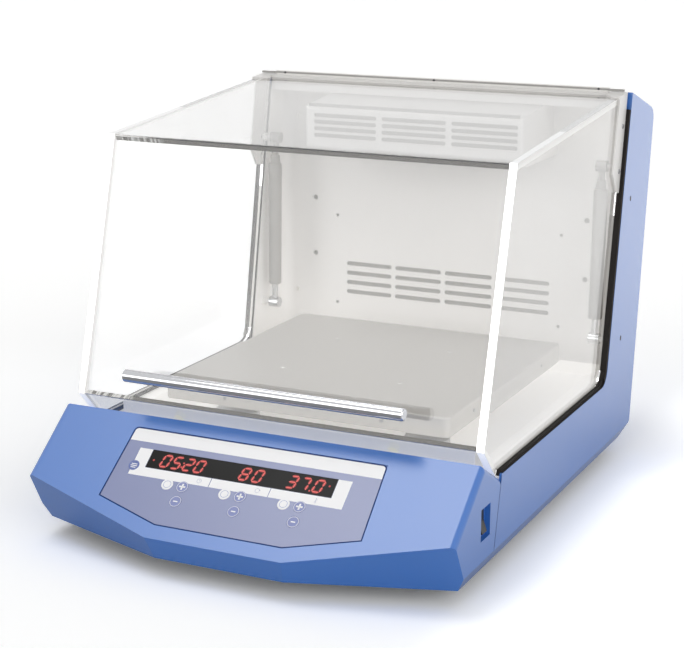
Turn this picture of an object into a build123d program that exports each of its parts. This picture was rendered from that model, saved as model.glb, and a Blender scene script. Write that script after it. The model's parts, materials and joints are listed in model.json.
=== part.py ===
"""Incubated benchtop shaker: heated chamber under a clear hinged hood, with an orbiting tray.

Millimetres. X runs to the right, Y to the rear, Z up. The origin is on the floor, under the middle of
the machine's overall width and depth.
"""

from build123d import *
import math
import os

# ---------------------------------------------------------------- overall sizes
overall_width = 465.0
overall_height = 433.0          # top of the ridge on the hinge strip
overall_depth = 695.0
hinge_ridge_height = 4.4
hood_top_z = overall_height - hinge_ridge_height
half_width = overall_width / 2
front_y = -overall_depth / 2
rear_y = overall_depth / 2

running_clearance = 0.05        # radial play of a shaft in its bearing
free_gap = 0.3                  # play round loose-fitting covers, keys and seals
fit_gap = 0.1                   # play between sheets that are screwed together

# ---------------------------------------------------------------- base and feet
foot_height = 22.0
foot_radius = 20.0
foot_x = half_width - 52.5
foot_front_y = front_y + 132.5
foot_rear_y = rear_y - 152.5
base_thickness = 8.0
base_top = foot_height + base_thickness
skirt_z = 18.0                # lower edge of the covers

# ---------------------------------------------------------------- side covers
cover_wall = 2.5
cover_depth = 12.0
ledge_z = 105.0                 # level edge of the L-shaped side cover
column_foot_y = rear_y - 204.0  # where the column's front edge meets the level edge
column_lean = 10.0              # degrees, front edge of the column
column_corner_radius = 20.0
column_top_z = hood_top_z - 1.0
top_slope = 17.0                # degrees, falls to the rear
rear_foot_y = rear_y - 106.5    # rear edge at floor level
rear_lean = 7.4                 # degrees
rear_corner_radius = 16.0
rear_bottom_cut = 18.0
bevel_z = 33.0                  # where the lower bevel starts
bevel_inset = 7.5

# ---------------------------------------------------------------- control nose
nose_wall = 3.5
nose_rear_y = front_y + 107.5
nose_rear_z = ledge_z + 22.1
deck_slope = 38.1               # degrees
seam_top_y = front_y + 154.5
seam_lean = 13.4                # degrees
nose_heel_z = ledge_z - 4.5     # where the slope behind the deck meets the seam
facet_half_width = 73.8         # middle facet at the front edge
facet_bottom_half_width = 70.0
nose_bottom_front_y = front_y + 12.3
nose_corner_y = front_y + 37.3  # front edge at the outer side
nose_edge_radius = 6.0
rib_x = 150.0
rib_thickness = 3.0

# ---------------------------------------------------------------- control label and keys
label_depth = 1.0
label_thickness = 0.8
label_gap = 0.9
label_top = 16.0              # distances down the deck from its rear edge
label_side_end = 99.0
label_bottom = 120.5
label_top_half_width = 138.5
label_side_half_width = 142.0
label_point_half_width = 69.0
label_corner_radius = 4.0
window_left = -108.0
window_right = 96.5
window_top = 38.6
window_bottom = 59.8
window_thickness = 3.0
key_radius = 6.2
key_flange = 1.2
key_travel = 0.4
key_height = 5.6
key_pitch = 64.0
first_ring_key_x = -75.8
plus_key_offset = 17.0
upper_key_row = 75.0
lower_key_row = 92.2
round_key_x = -121.2
round_key_row = 59.8
round_key_radius = 5.8
board_thickness = 1.6
board_left = -134.0
board_right = 118.0
board_top = 33.0
board_bottom = 106.0
board_post_radius = 3.0

# ---------------------------------------------------------------- rocker switch
pocket_y = front_y + 113.0
pocket_z = ledge_z - 35.0
pocket_width = 24.0
pocket_height = 32.0
pocket_depth = 6.0
pocket_wall = 2.5
rocker_width = 12.0
rocker_height = 23.0
rocker_angle = 9.0            # each face against the pocket's floor
rocker_pivot_radius = 1.2
rocker_depth = 7.0
rocker_end_gap = 1.6

# ---------------------------------------------------------------- chamber
pan_sheet = 2.0
pan_floor_z = ledge_z - 21.0
pan_ledge_width = 15.0        # level ledge beside the pan's slope
pan_slope_width = 28.0
pan_front_floor_y = front_y + 172.5
ledge_drop = 3.0              # the seal's seat lies this far below the level edge
column_seat_drop = 0.5
seat_half_width = half_width - cover_wall - fit_gap
chamber_wall = 1.5
chamber_side_space = 14.5     # from the outside of a side cover to the chamber's inside
chamber_half_width = half_width - chamber_side_space
pan_ledge_half_width = chamber_half_width - pan_ledge_width
pan_floor_half_width = pan_ledge_half_width - pan_slope_width
pan_leg_x = chamber_half_width + 1.6
wall_pattern_x = -2.7         # middle of the slots and holes on the back wall
chamber_corner_radius = 14.0
back_wall_y = rear_y - 115.0
ceiling_z = hood_top_z - 26.6
seat_z = ledge_z - ledge_drop
wall_slot_columns = 4
wall_slot_rows = 4
wall_slot_length = 60.6
wall_slot_height = 5.2
wall_slot_gap = 5.1
wall_slot_pitch = 11.9
wall_slot_top_z = ledge_z + 88.1
large_hole_radius = 3.2
large_hole_x = 172.0
large_hole_heights = (ledge_z + 167.9, ledge_z + 97.7)
small_hole_radius = 2.1
small_hole_x = 141.6
small_hole_heights = (ledge_z + 147.9, ledge_z + 37.4)

# ---------------------------------------------------------------- edge seals
seal_inner_x = chamber_half_width + 1.0
seal_outer_x = seat_half_width
seal_level_rise = 2.0         # seal face above the level edge
seal_column_rise = 5.0        # seal face in front of the column's edge
seal_top_z = hood_top_z - 19.6

# ---------------------------------------------------------------- heater cover and blower
heater_cover_x = -3.0         # middle of the cover, beside the middle of the machine
heater_cover_half_width = 134.0
heater_cover_front_y = rear_y - 221.0
heater_cover_top_z = ceiling_z - 8.0
heater_cover_bottom_z = heater_cover_top_z - 46.0
heater_cover_rise_end_y = rear_y - 150.5
heater_cover_sheet = 1.5
heater_cover_radius = 4.0
cover_slot_columns = 3
cover_slot_rows = 4
cover_slot_length = 79.4
cover_slot_height = 4.6
cover_slot_gap = 6.5
cover_slot_pitch = 7.7
cover_slot_top_z = heater_cover_top_z - 9.6
blower_y = rear_y - 164.5
blower_plate_radius = 28.0
blower_plate_thickness = 3.0
blower_shaft_radius = 3.0
blower_radius = 38.0
blower_height = 22.0
blower_hub_radius = 12.0
blower_blades = 14
blower_gap = 2.0
heater_rod_radius = 3.5
heater_y = heater_cover_front_y + 10.5
heater_end_gap = 16.0         # from the middle of the rod's bend to the cover's right side
heater_high_z = heater_cover_top_z - 12.0
heater_low_z = heater_high_z - 18.0

# ---------------------------------------------------------------- gas springs
spring_wall_gap = 16.5        # from the chamber's side to the middle of the spring
spring_x = chamber_half_width - spring_wall_gap
spring_low_y = rear_y - 174.7
spring_low_z = ledge_z + 44.3
spring_high_y = rear_y - 170.5
spring_high_z = hood_top_z - 81.7
spring_tube_radius = 7.8
spring_tube_wall = 1.5
spring_tube_length = 150.0
spring_tube_start = 23.0      # from the lower stud at rest
spring_rod_radius = 3.0
spring_eye_radius = 6.5
spring_eye_width = 12.0
spring_neck_radius = 3.6
spring_collar_radius = 5.6
spring_collar_length = 9.0
spring_guide_length = 6.0
stud_radius = 3.0
stud_thread_radius = 2.5
stud_hex_radius = 5.0
stud_hex_width = 5.0
stud_gap = 0.5                # free end of the upper stud against the eye

# ---------------------------------------------------------------- hood
hood_sheet = 8.0
hood_side_gap = 3.8             # from the hood's side to the inside of the side cover
hood_half_width = seat_half_width - hood_side_gap
hood_tip_y = front_y + 153.5
hood_tip_z = ledge_z - 3.0
hood_front_bottom_y = front_y + 121.5
hood_front_bottom_z = ledge_z + 30.0
hood_front_top_y = front_y + 193.0
hood_front_top_z = hood_top_z - 30.6
hood_corner_radius = 22.0
hood_heel_y = hood_tip_y + 4.5  # behind the tip, where the level bottom edge starts
frame_sheet = 2.2
frame_strip_depth = 15.0
hinge_ridge_sheet = 3.0
hinge_ridge_inset = 1.5         # from the strip's rear edge
frame_tab_width = 17.7          # of each bracket's tab, over the top of the hood
frame_strip_end = hood_half_width - frame_tab_width
bracket_gap = 0.9
bracket_width = 28.5
bracket_tip_z = spring_high_z - 28.4
bracket_tip_width = 11.0
bracket_cut_z = spring_high_z - 4.6
bracket_tab_chamfer = 9.0
handle_radius = 6.5
handle_half_length = 154.1
handle_z = hood_front_bottom_z + 33.7
handle_standoff = 30.0
handle_post_x = 120.0
handle_post_radius = 4.0
buffer_x = 121.0
buffer_radius = 5.5
buffer_y = front_y + 142.5

# ---------------------------------------------------------------- hood hinge
hinge_y = rear_y - 148.1
hinge_z = hood_top_z - 4.4
knuckle_radius = 3.4
hinge_pin_radius = 1.8
hinge_half_length = frame_strip_end - 0.4
knuckle_pairs = 4
knuckle_gap = 0.4
hinge_leaf_sheet = 2.0
hinge_leaf_depth = 13.0

# ---------------------------------------------------------------- tray and drive
tray_y = 8.5
tray_half_width = 163.0
tray_half_depth = 162.8
tray_top_z = ledge_z + 34.8
tray_skirt = 20.8
tray_sheet = 2.0
tray_corner_radius = 8.0
tray_hole_spacing = 139.0
tray_hole_radius = 3.0
orbit_radius = 10.0
drive_y = tray_y - orbit_radius
carrier_top_z = tray_top_z - 21.8
carrier_thickness = 8.0
carrier_half_width = 134.0
carrier_front_y = tray_y - 106.5
carrier_rear_y = tray_y + 149.5
carrier_corner_radius = 20.0
carrier_window_radius = 32.0
carrier_hub_radius = 17.0
carrier_hub_drop = 10.0
post_radius = 8.0
crank_shaft_radius = 10.0
crank_web_radius = 30.0
crank_web_thickness = 7.0
crank_pin_radius = 8.0
web_gap = 2.0
shaft_floor_gap = 2.0
support_shaft_radius = 6.0
support_web_radius = 24.0
support_pin_radius = 5.0
support_x = 112.0             # the two front supports, beside the main crank
support_front_distance = 85.0
support_rear_distance = 122.0
support_places = (
    (-support_x, -support_front_distance),
    (support_x, -support_front_distance),
    (0.0, support_rear_distance),
)
housing_flange_radius = 34.0
housing_flange_thickness = 7.0
housing_body_radius = 22.0
support_flange_radius = 25.0
support_body_radius = 15.0
support_top_z = pan_floor_z - 10.0
pulley_radius = 56.0
pulley_thickness = 12.0
pulley_low_z = pan_floor_z - 19.0
housing_top_z = pulley_low_z - 7.0
pulley_web_thickness = 5.0
counterweight_inner_radius = 26.0
counterweight_outer_radius = 53.0
counterweight_height = 14.0
motor_pulley_radius = 14.0
motor_distance = 150.0
motor_radius = 40.0
motor_height = 32.0
motor_shaft_radius = 4.0
belt_thickness = 1.6
belt_height = 9.0

# ---------------------------------------------------------------- rear side
rear_sheet = 2.0
rear_inset = 0.5
service_half_width = 128.0
service_low_z = ledge_z - 13.0
service_high_z = hood_top_z - 106.6
service_slope_height = 30.0
service_sheet = 1.5
louvre_length = 84.0
louvre_height = 5.0
louvre_pitch = 13.0
louvre_rows = 9
louvre_x = 58.0
supply_half_width = 62.0
supply_height = 120.0
supply_depth = 42.0
supply_z = (service_low_z + service_high_z) / 2 - 7.0
inlet_x = 54.5 - half_width
inlet_z = base_top + 29.0
inlet_width = 50.0
inlet_height = 34.0
inlet_body_depth = 24.0
inlet_flange = 2.5
sockets_x = half_width - 54.5
sockets_z = inlet_z
sockets_width = 62.0
sockets_height = 26.0
sockets_body_depth = 10.0
screw_head_radius = 2.9
screw_head_height = 1.4
screw_slot = 0.8

PARTS = {}


# ---------------------------------------------------------------- helpers
def tan(degrees):
    return math.tan(math.radians(degrees))


def cos(degrees):
    return math.cos(math.radians(degrees))


def sin(degrees):
    return math.sin(math.radians(degrees))


def block(x0, x1, y0, y1, z0, z1):
    """Box between two corners."""
    centre = ((x0 + x1) / 2, (y0 + y1) / 2, (z0 + z1) / 2)
    return Pos(*centre) * Box(abs(x1 - x0), abs(y1 - y0), abs(z1 - z0))


def rod(start, direction, radius, length):
    """Cylinder from a point along a direction."""
    plane = Plane(origin=start, z_dir=direction)
    return plane * Cylinder(radius, length, align=(Align.CENTER, Align.CENTER, Align.MIN))


def side_face(points, x):
    """Face in the plane of constant x, from (y, z) points."""
    return Plane.YZ.offset(x) * Polygon(*points, align=None)


def side_prism(points, x0, x1):
    """(y, z) outline carried along X."""
    return extrude(side_face(points, min(x0, x1)), abs(x1 - x0), dir=(1, 0, 0))


def plan_prism(points, z0, z1):
    """(x, y) outline carried up Z."""
    return extrude(Plane.XY.offset(z0) * Polygon(*points, align=None), z1 - z0, dir=(0, 0, 1))


def front_prism(points, y0, y1):
    """(x, z) outline carried along Y."""
    return extrude(Plane.XZ.offset(-y0) * Polygon(*points, align=None), y1 - y0, dir=(0, 1, 0))


def moved_line(a, b, distance):
    """The line through a and b, moved to its left by a distance."""
    length = math.hypot(b[0] - a[0], b[1] - a[1])
    shift = (-(b[1] - a[1]) / length * distance, (b[0] - a[0]) / length * distance)
    return (a[0] + shift[0], a[1] + shift[1]), (b[0] + shift[0], b[1] + shift[1])


def crossing(line, other):
    """Where two lines of the plane meet."""
    (ax, ay), (bx, by) = line
    (cx, cy), (dx, dy) = other
    turn = (bx - ax) * (dy - cy) - (by - ay) * (dx - cx)
    share = ((cx - ax) * (dy - cy) - (cy - ay) * (dx - cx)) / turn
    return (ax + share * (bx - ax), ay + share * (by - ay))


def moved_path(points, distance):
    """An open path moved to its left by a distance, with mitred corners."""
    lines = [moved_line(a, b, distance) for a, b in zip(points, points[1:])]
    inner = [crossing(a, b) for a, b in zip(lines, lines[1:])]
    return [lines[0][0]] + inner + [lines[-1][1]]


def moved_loop(points, distance):
    """A closed outline moved to its left by a distance."""
    closed = points[-1:] + points + points[:1]
    lines = [moved_line(a, b, distance) for a, b in zip(closed, closed[1:])]
    return [crossing(a, b) for a, b in zip(lines, lines[1:])]


def sheet(points, thickness, x0, x1):
    """Bent sheet: a (y, z) path thickened to its left and carried along X."""
    return side_prism(points + moved_path(points, thickness)[::-1], x0, x1)


def mirrored(piece):
    return mirror(piece, about=Plane.YZ)


def keep_side(piece, origin, outward):
    """The part of a piece on the inner side of a plane."""
    return split(piece, bisect_by=Plane(origin=origin, z_dir=outward), keep=Keep.BOTTOM)


def slot_grid(columns, rows, length, height, gap, pitch, top_z, y0, y1):
    """Rows of rounded slots, as cutters that run along Y."""
    width = columns * length + (columns - 1) * gap
    cutters = []
    for column in range(columns):
        x = -width / 2 + length / 2 + column * (length + gap)
        for row in range(rows):
            face = Plane.XZ.offset(-y0) * Pos(x, top_z - row * pitch) * SlotOverall(length, height)
            cutters.append(extrude(face, y1 - y0, dir=(0, 1, 0)))
    return cutters


def add(name, piece):
    PARTS[name] = piece


# ---------------------------------------------------------------- shared outlines
def column_y(z, forward=0.0):
    """Front edge of the column at a height, moved forward square to itself."""
    return column_foot_y + (z - ledge_z) * tan(column_lean) - forward / cos(column_lean)


def rear_edge_y(z, inset=0.0):
    return rear_foot_y + z * tan(rear_lean) - inset / cos(rear_lean)


def top_edge_z(y, inset=0.0):
    return column_top_z - (y - column_y(column_top_z)) * tan(top_slope) - inset / cos(top_slope)


def rear_top_corner(inset=0.0):
    """(y, z) of the corner of the falling top and the leaning rear."""
    top = ((0.0, top_edge_z(0.0, inset)), (rear_y, top_edge_z(rear_y, inset)))
    back = ((rear_edge_y(0.0, inset), 0.0), (rear_edge_y(hood_top_z, inset), hood_top_z))
    return crossing(top, back)


def seam_y(z):
    return seam_top_y - (ledge_z - z) * tan(seam_lean)


def edge_path(level_z, column_forward, top_z):
    """(y, z) path along the L-shaped edge: level run, then up the column."""
    foot = ((0.0, level_z), (1.0, level_z))
    column = ((column_y(0.0, column_forward), 0.0), (column_y(ledge_z, column_forward), ledge_z))
    corner = crossing(foot, column)
    return corner, (column_y(top_z, column_forward), top_z)


seat_front_y = seam_y(ledge_z) + 1.0
seat_corner, seat_top = edge_path(seat_z, -column_seat_drop, seal_top_z)
seal_corner, seal_top = edge_path(ledge_z + seal_level_rise, seal_column_rise, seal_top_z)
hood_bottom_z = ledge_z + seal_level_rise + free_gap
hood_column_forward = seal_column_rise + free_gap


def hood_outline():
    """Outer (y, z) outline of the clear hood: tip, front, top, rear edge and bottom edge."""
    front_top = (hood_front_top_y, hood_front_top_z)
    top_rear_z = hood_top_z - frame_sheet
    top_rear = (column_y(top_rear_z, hood_column_forward), top_rear_z)
    rear_line = ((column_y(0.0, hood_column_forward), 0.0), top_rear)
    bottom_line = ((0.0, hood_bottom_z), (1.0, hood_bottom_z))
    return [
        (hood_tip_y, hood_tip_z),
        (hood_front_bottom_y, hood_front_bottom_z),
        front_top,
        top_rear,
        crossing(bottom_line, rear_line),
        (hood_heel_y, hood_bottom_z),
    ]


def deck_plane(x=0.0, along=0.0, out=0.0):
    """Plane on the sloping deck: a distance down from its rear edge, z away from the deck."""
    y = nose_rear_y - along * cos(deck_slope) - out * sin(deck_slope)
    z = nose_rear_z - along * sin(deck_slope) + out * cos(deck_slope)
    return Plane(origin=(x, y, z), x_dir=(1, 0, 0), z_dir=(0, -sin(deck_slope), cos(deck_slope)))


def deck_block(x0, x1, along0, along1, out0, out1):
    """Box that lies on the deck."""
    piece = Box(abs(x1 - x0), abs(along1 - along0), abs(out1 - out0))
    return deck_plane((x0 + x1) / 2, (along0 + along1) / 2, (out0 + out1) / 2) * piece


def deck_round(x, along, out0, out1, radius):
    """Cylinder that stands on the deck, from out0 up to out1."""
    piece = Cylinder(radius, out1 - out0, align=(Align.CENTER, Align.CENTER, Align.MIN))
    return deck_plane(x, along, out0) * piece


def rear_plane(x, z, out=0.0):
    """Plane on the leaning rear panel, z away from the machine, y up the panel."""
    y = rear_edge_y(z, rear_inset)
    origin = (x, y + out * cos(rear_lean), z - out * sin(rear_lean))
    return Plane(origin=origin, x_dir=(-1, 0, 0), z_dir=(0, cos(rear_lean), -sin(rear_lean)))


def rear_block(x, z, width, height, out0, out1):
    """Box on the leaning rear panel."""
    return rear_plane(x, z, (out0 + out1) / 2) * Box(width, height, out1 - out0)


# ---------------------------------------------------------------- base and feet
def base_plate():
    """Plate that fills the covers' foot, faceted at the front like the nose."""
    inner = moved_loop(cover_outline(), rear_inset + rear_sheet + free_gap)
    rear = crossing(inner[1:3], ((0.0, foot_height), (1.0, foot_height)))[0]
    front = seam_y(skirt_z) - 5.0
    plate = block(-pan_leg_x, pan_leg_x, front, rear, foot_height, base_top)
    slab = block(-pan_leg_x, pan_leg_x, front_y, front + 1, foot_height, base_top)
    add("base_plate", plate + (nose_form(nose_wall + free_gap) & slab))


def rubber_feet():
    feet = []
    for x in (-foot_x, foot_x):
        for y in (foot_front_y, foot_rear_y):
            foot = Pos(x, y, foot_height / 2) * Cylinder(foot_radius, foot_height)
            foot = chamfer(foot.edges().group_by(Axis.Z)[0], 3.0)
            feet.append(foot)
    add("rubber_feet", Compound(feet))


# ---------------------------------------------------------------- control nose
def nose_form(inset):
    """Outer form of the nose, or the same form moved inwards by a wall."""
    width = half_width - inset
    deck_z = nose_rear_z - inset / cos(deck_slope)
    outline = [
        (nose_rear_y, deck_z),
        (seam_y(nose_heel_z) - free_gap, nose_heel_z - inset),
        (seam_y(skirt_z) - free_gap, skirt_z),
        (front_y, skirt_z),
        (front_y, deck_z - (nose_rear_y - front_y) * tan(deck_slope)),
    ]
    form = side_prism(outline, -width, width)
    if inset == 0:
        side_edges = form.edges().filter_by(lambda e: abs(e.center().X) > width - 1)
        upper_edges = side_edges.filter_by(lambda e: e.center().Z > bevel_z + 45)
        form = fillet(upper_edges, nose_edge_radius)
    return cut_nose_facets(form, inset)


def cut_nose_facets(form, inset):
    """Trims the nose to its three front facets and the lower side bevels."""
    edge_z = nose_rear_z - (nose_rear_y - front_y) * tan(deck_slope)
    corner_z = nose_rear_z - (nose_rear_y - nose_corner_y) * tan(deck_slope)
    middle_low = Vector(0, nose_bottom_front_y, skirt_z)
    middle_high = Vector(0, front_y, edge_z)
    normal = (middle_high - middle_low).cross(Vector(1, 0, 0)).normalized()
    if normal.Y > 0:
        normal = -normal
    form = keep_side(form, middle_high - normal * inset, normal)
    for side in (-1, 1):
        top = Vector(side * facet_half_width, front_y, edge_z)
        low = Vector(side * facet_bottom_half_width, nose_bottom_front_y, skirt_z)
        corner = Vector(side * half_width, nose_corner_y, corner_z)
        normal = (corner - top).cross(low - top).normalized()
        if normal.Y > 0:
            normal = -normal
        form = keep_side(form, top - normal * inset, normal)
        form = cut_bevel(form, side, inset)
    return form


def cut_bevel(form, side, inset):
    """Trims the lower outer edge to the bevel that runs round the machine."""
    height = bevel_z - skirt_z
    normal = Vector(side * height, 0, -bevel_inset).normalized()
    point = Vector(side * half_width, 0, bevel_z) - normal * inset
    return keep_side(form, point, normal)


def label_outline(grow):
    points = [
        (-label_top_half_width, -label_top),
        (-label_side_half_width, -label_side_end),
        (-label_point_half_width, -label_bottom),
        (label_point_half_width, -label_bottom),
        (label_side_half_width, -label_side_end),
        (label_top_half_width, -label_top),
    ]
    return moved_loop(points, -grow)


def label_prism(grow, out0, out1):
    """Label, or its recess, with its two upper corners rounded."""
    plane = deck_plane(out=out0)
    prism = extrude(plane * Polygon(*label_outline(grow), align=None), out1 - out0, dir=plane.z_dir)
    upper = [deck_plane(side * (label_top_half_width + grow), label_top - grow, out0).origin for side in (-1, 1)]
    corners = prism.edges().filter_by(lambda e: min((e @ 0 - c).length for c in upper) < 2 and e.length < 10)
    corners = corners.filter_by(lambda e: abs((e % 0).dot(plane.z_dir)) > 0.99)
    return fillet(corners, label_corner_radius + grow)


def key_places():
    """(name, x, distance down the deck, radius) of each key."""
    places = [("key_round", round_key_x, round_key_row, round_key_radius)]
    for number, group in enumerate(("time", "speed", "heat")):
        ring_x = first_ring_key_x + number * key_pitch
        plus_x = ring_x + plus_key_offset
        places.append((f"key_{group}_ring", ring_x, upper_key_row, key_radius))
        places.append((f"key_{group}_plus", plus_x, upper_key_row, key_radius))
        places.append((f"key_{group}_minus", plus_x, lower_key_row, key_radius))
    return places


def window_cutter(gap):
    return deck_block(
        window_left - gap, window_right + gap, window_top - gap, window_bottom + gap, -nose_wall * 2, 1.0
    )


def rocker_frame(grow_y, grow_z, x0, x1):
    """Box round the rocker, with play."""
    half_y = rocker_width / 2 + grow_y
    half_z = rocker_height / 2 + grow_z
    return block(x0, x1, pocket_y - half_y, pocket_y + half_y, pocket_z - half_z, pocket_z + half_z)


pocket_floor_x = half_width - pocket_depth
rocker_axis_x = pocket_floor_x - 2.2


def control_nose():
    cavity = nose_form(nose_wall)
    shell = nose_form(0.0) - cavity
    for x in (-rib_x, rib_x):
        rib = block(
            x - rib_thickness / 2, x + rib_thickness / 2, front_y, nose_rear_y + 25, base_top, nose_rear_z
        )
        shell = shell + (rib & cavity)
    pocket_back = rocker_axis_x - rocker_pivot_radius - pocket_wall
    pocket_outer = block(
        pocket_back, half_width - 1,
        pocket_y - pocket_width / 2 - pocket_wall, pocket_y + pocket_width / 2 + pocket_wall,
        pocket_z - pocket_height / 2 - pocket_wall, pocket_z + pocket_height / 2 + pocket_wall,
    )
    pocket_inner = block(
        pocket_floor_x, half_width + 1,
        pocket_y - pocket_width / 2, pocket_y + pocket_width / 2,
        pocket_z - pocket_height / 2, pocket_z + pocket_height / 2,
    )
    shell = shell + pocket_outer - pocket_inner
    shell = shell - rocker_frame(free_gap, rocker_end_gap, pocket_back - 1, half_width)
    pivot_length = rocker_width + 2 * free_gap + 3.0
    pivot_start = (rocker_axis_x, pocket_y - pivot_length / 2, pocket_z)
    shell = shell - rod(pivot_start, (0, 1, 0), rocker_pivot_radius + running_clearance, pivot_length)
    shell = shell - label_prism(label_gap, -label_depth, 5.0)
    shell = shell - window_cutter(free_gap / 2)
    for name, x, along, radius in key_places():
        shell = shell - deck_round(x, along, -nose_wall * 2, 1.0, radius + free_gap / 2)
    for x in (board_left + 5, board_right - 5):
        for along in (board_top + 3, board_bottom - 4):
            shell = shell + deck_round(x, along, board_out(), -nose_wall, board_post_radius)
    add("control_nose", shell)


def board_out():
    """Height of the control board's upper face against the deck."""
    return -(key_height + key_travel + 0.2)


def label_and_window():
    top = -label_depth + label_thickness
    label = label_prism(0.0, -label_depth, top) - window_cutter(free_gap / 2)
    for name, x, along, radius in key_places():
        label = label - deck_round(x, along, -nose_wall, 1.0, radius + free_gap / 2)
    add("control_label", label)
    window = deck_block(window_left, window_right, window_top, window_bottom, top - window_thickness, top)
    add("display_window", window)


def keys():
    top = -label_depth + label_thickness + 0.2
    for name, x, along, radius in key_places():
        cap = deck_round(x, along, -key_height, top, radius)
        flange = deck_round(x, along, -key_height, -key_height + key_flange, radius + 1.0)
        add(name, cap + flange)


def control_board():
    under = board_out()
    board = deck_block(board_left, board_right, board_top, board_bottom, under - board_thickness, under)
    window_under = -label_depth + label_thickness - window_thickness
    digits = deck_block(
        window_left + 3, window_right - 3, window_top + 1, window_bottom - 1, under, window_under - 0.2
    )
    board = board + digits
    for x, along, width, length, height in ((-90, 96, 30, 14, 3), (-30, 98, 22, 10, 4), (100, 90, 20, 20, 8)):
        board = board + deck_block(
            x - width / 2, x + width / 2, along - length / 2, along + length / 2,
            under - board_thickness - height, under - board_thickness,
        )
    add("control_board", board)


def rocker_switch():
    """Rocker with two flat faces, at rest with its upper end pressed in."""
    half = rocker_height / 2
    rise = half * tan(rocker_angle)
    face_x = pocket_floor_x + 1.6
    back_x = pocket_floor_x - rocker_depth
    outline = [
        (face_x, 0.0), (face_x + rise, half), (back_x + 1.5, half), (back_x, half - 3.0),
        (back_x, -half + 3.0), (back_x + 1.5, -half), (face_x + rise, -half),
    ]
    outline = [(x, pocket_z + z) for x, z in outline]
    body = front_prism(outline, pocket_y - rocker_width / 2, pocket_y + rocker_width / 2)
    length = rocker_width + 2 * free_gap + 2.4
    pivot = rod((rocker_axis_x, pocket_y - length / 2, pocket_z), (0, 1, 0), rocker_pivot_radius, length)
    axis = Axis((rocker_axis_x, pocket_y, pocket_z), (0, 1, 0))
    add("rocker_switch", (body + pivot).rotate(axis, -rocker_angle))


# ---------------------------------------------------------------- side covers
def cover_outline():
    """(y, z) outline of a side cover, without its round corners."""
    cut = rear_bottom_cut
    return [
        (seam_y(skirt_z), skirt_z),
        (rear_edge_y(skirt_z) - cut, skirt_z),
        (rear_edge_y(skirt_z + cut), skirt_z + cut),
        rear_top_corner(),
        (column_y(column_top_z), column_top_z),
        (column_foot_y, ledge_z),
        (seam_top_y, ledge_z),
    ]


def rounded_side_face(points, x, radii):
    """Side face with a radius at chosen corners, given as {index: radius}."""
    face = side_face(points, x)
    for index, radius in radii.items():
        y, z = points[index]
        corner = face.vertices().sort_by(lambda v: math.hypot(v.Y - y, v.Z - z))[0]
        face = fillet(corner, radius)
    return face


def side_cover():
    """Right-hand cover: skin with flanges at the foot, rear and top, and a block above the seal."""
    points = cover_outline()
    outer_face = rounded_side_face(points, half_width, {3: rear_corner_radius, 5: column_corner_radius})
    outer = cut_bevel(extrude(outer_face, cover_depth, dir=(-1, 0, 0)), 1, 0.0)
    inner = moved_loop(points, cover_wall)
    block_z = seal_top_z + free_gap
    block_rear = -cover_depth
    cavity_points = [
        (seam_y(skirt_z) - 20, skirt_z + cover_wall),
        inner[1],
        inner[2],
        inner[3],
        (column_y(column_top_z, block_rear), top_edge_z(column_y(column_top_z, block_rear), cover_wall)),
        (column_y(block_z, block_rear), block_z),
        (column_y(block_z, cover_depth), block_z),
        (column_foot_y - 20, ledge_z + 20),
        (seam_top_y - 20, ledge_z + 20),
    ]
    cavity_face = rounded_side_face(
        cavity_points, half_width - cover_wall, {3: rear_corner_radius - cover_wall}
    )
    cavity = cut_bevel(extrude(cavity_face, cover_depth, dir=(-1, 0, 0)), 1, cover_wall)
    cover = outer - cavity
    for y, z in cover_screws:
        cover = cover - screw_hole((half_width, y, z), (1, 0, 0), cover_wall)
    return cover


def side_covers():
    cover = side_cover()
    add("side_cover_right", cover)
    add("side_cover_left", mirrored(cover))


# ---------------------------------------------------------------- chamber
def basin(grow):
    """Inside of the pan, or the same form grown outwards by a sheet, cut level at the ledge."""
    across = [
        (-pan_ledge_half_width, seat_z),
        (-pan_floor_half_width, pan_floor_z + pan_sheet),
        (pan_floor_half_width, pan_floor_z + pan_sheet),
        (pan_ledge_half_width, seat_z),
    ]
    lip_y = seat_front_y + pan_sheet
    along = [
        (lip_y, seat_z),
        (pan_front_floor_y, pan_floor_z + pan_sheet),
        (back_wall_y, pan_floor_z + pan_sheet),
        (back_wall_y, seat_z),
    ]
    across = moved_loop(across, -grow)
    along = moved_loop(along, -grow)
    rear = back_wall_y + chamber_wall
    form = front_prism(across, seat_front_y - 20, rear) & side_prism(along, -half_width, half_width)
    return form & block(-half_width, half_width, seat_front_y, rear, pan_floor_z - 5, seat_z)


def chamber_floor():
    """Pan with sloped sides and front, a ledge for the seals, and legs down to the base."""
    low = seat_z - pan_sheet
    rear = back_wall_y + chamber_wall
    pan = basin(pan_sheet) + block(-seat_half_width, seat_half_width, seat_front_y, rear, low, seat_z)
    pan = pan - basin(0.0)
    for side in (-1, 1):
        pan = pan + block(
            side * (pan_leg_x - pan_sheet), side * pan_leg_x, seat_front_y, rear, base_top, low
        )
    pan = pan - rod((0, drive_y, pan_floor_z - 1), (0, 0, 1), crank_shaft_radius + shaft_floor_gap, 5)
    for x, y in support_places:
        start = (x, drive_y + y, pan_floor_z - 1)
        pan = pan - rod(start, (0, 0, 1), support_shaft_radius + shaft_floor_gap, 5)
    add("chamber_floor", pan)


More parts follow.
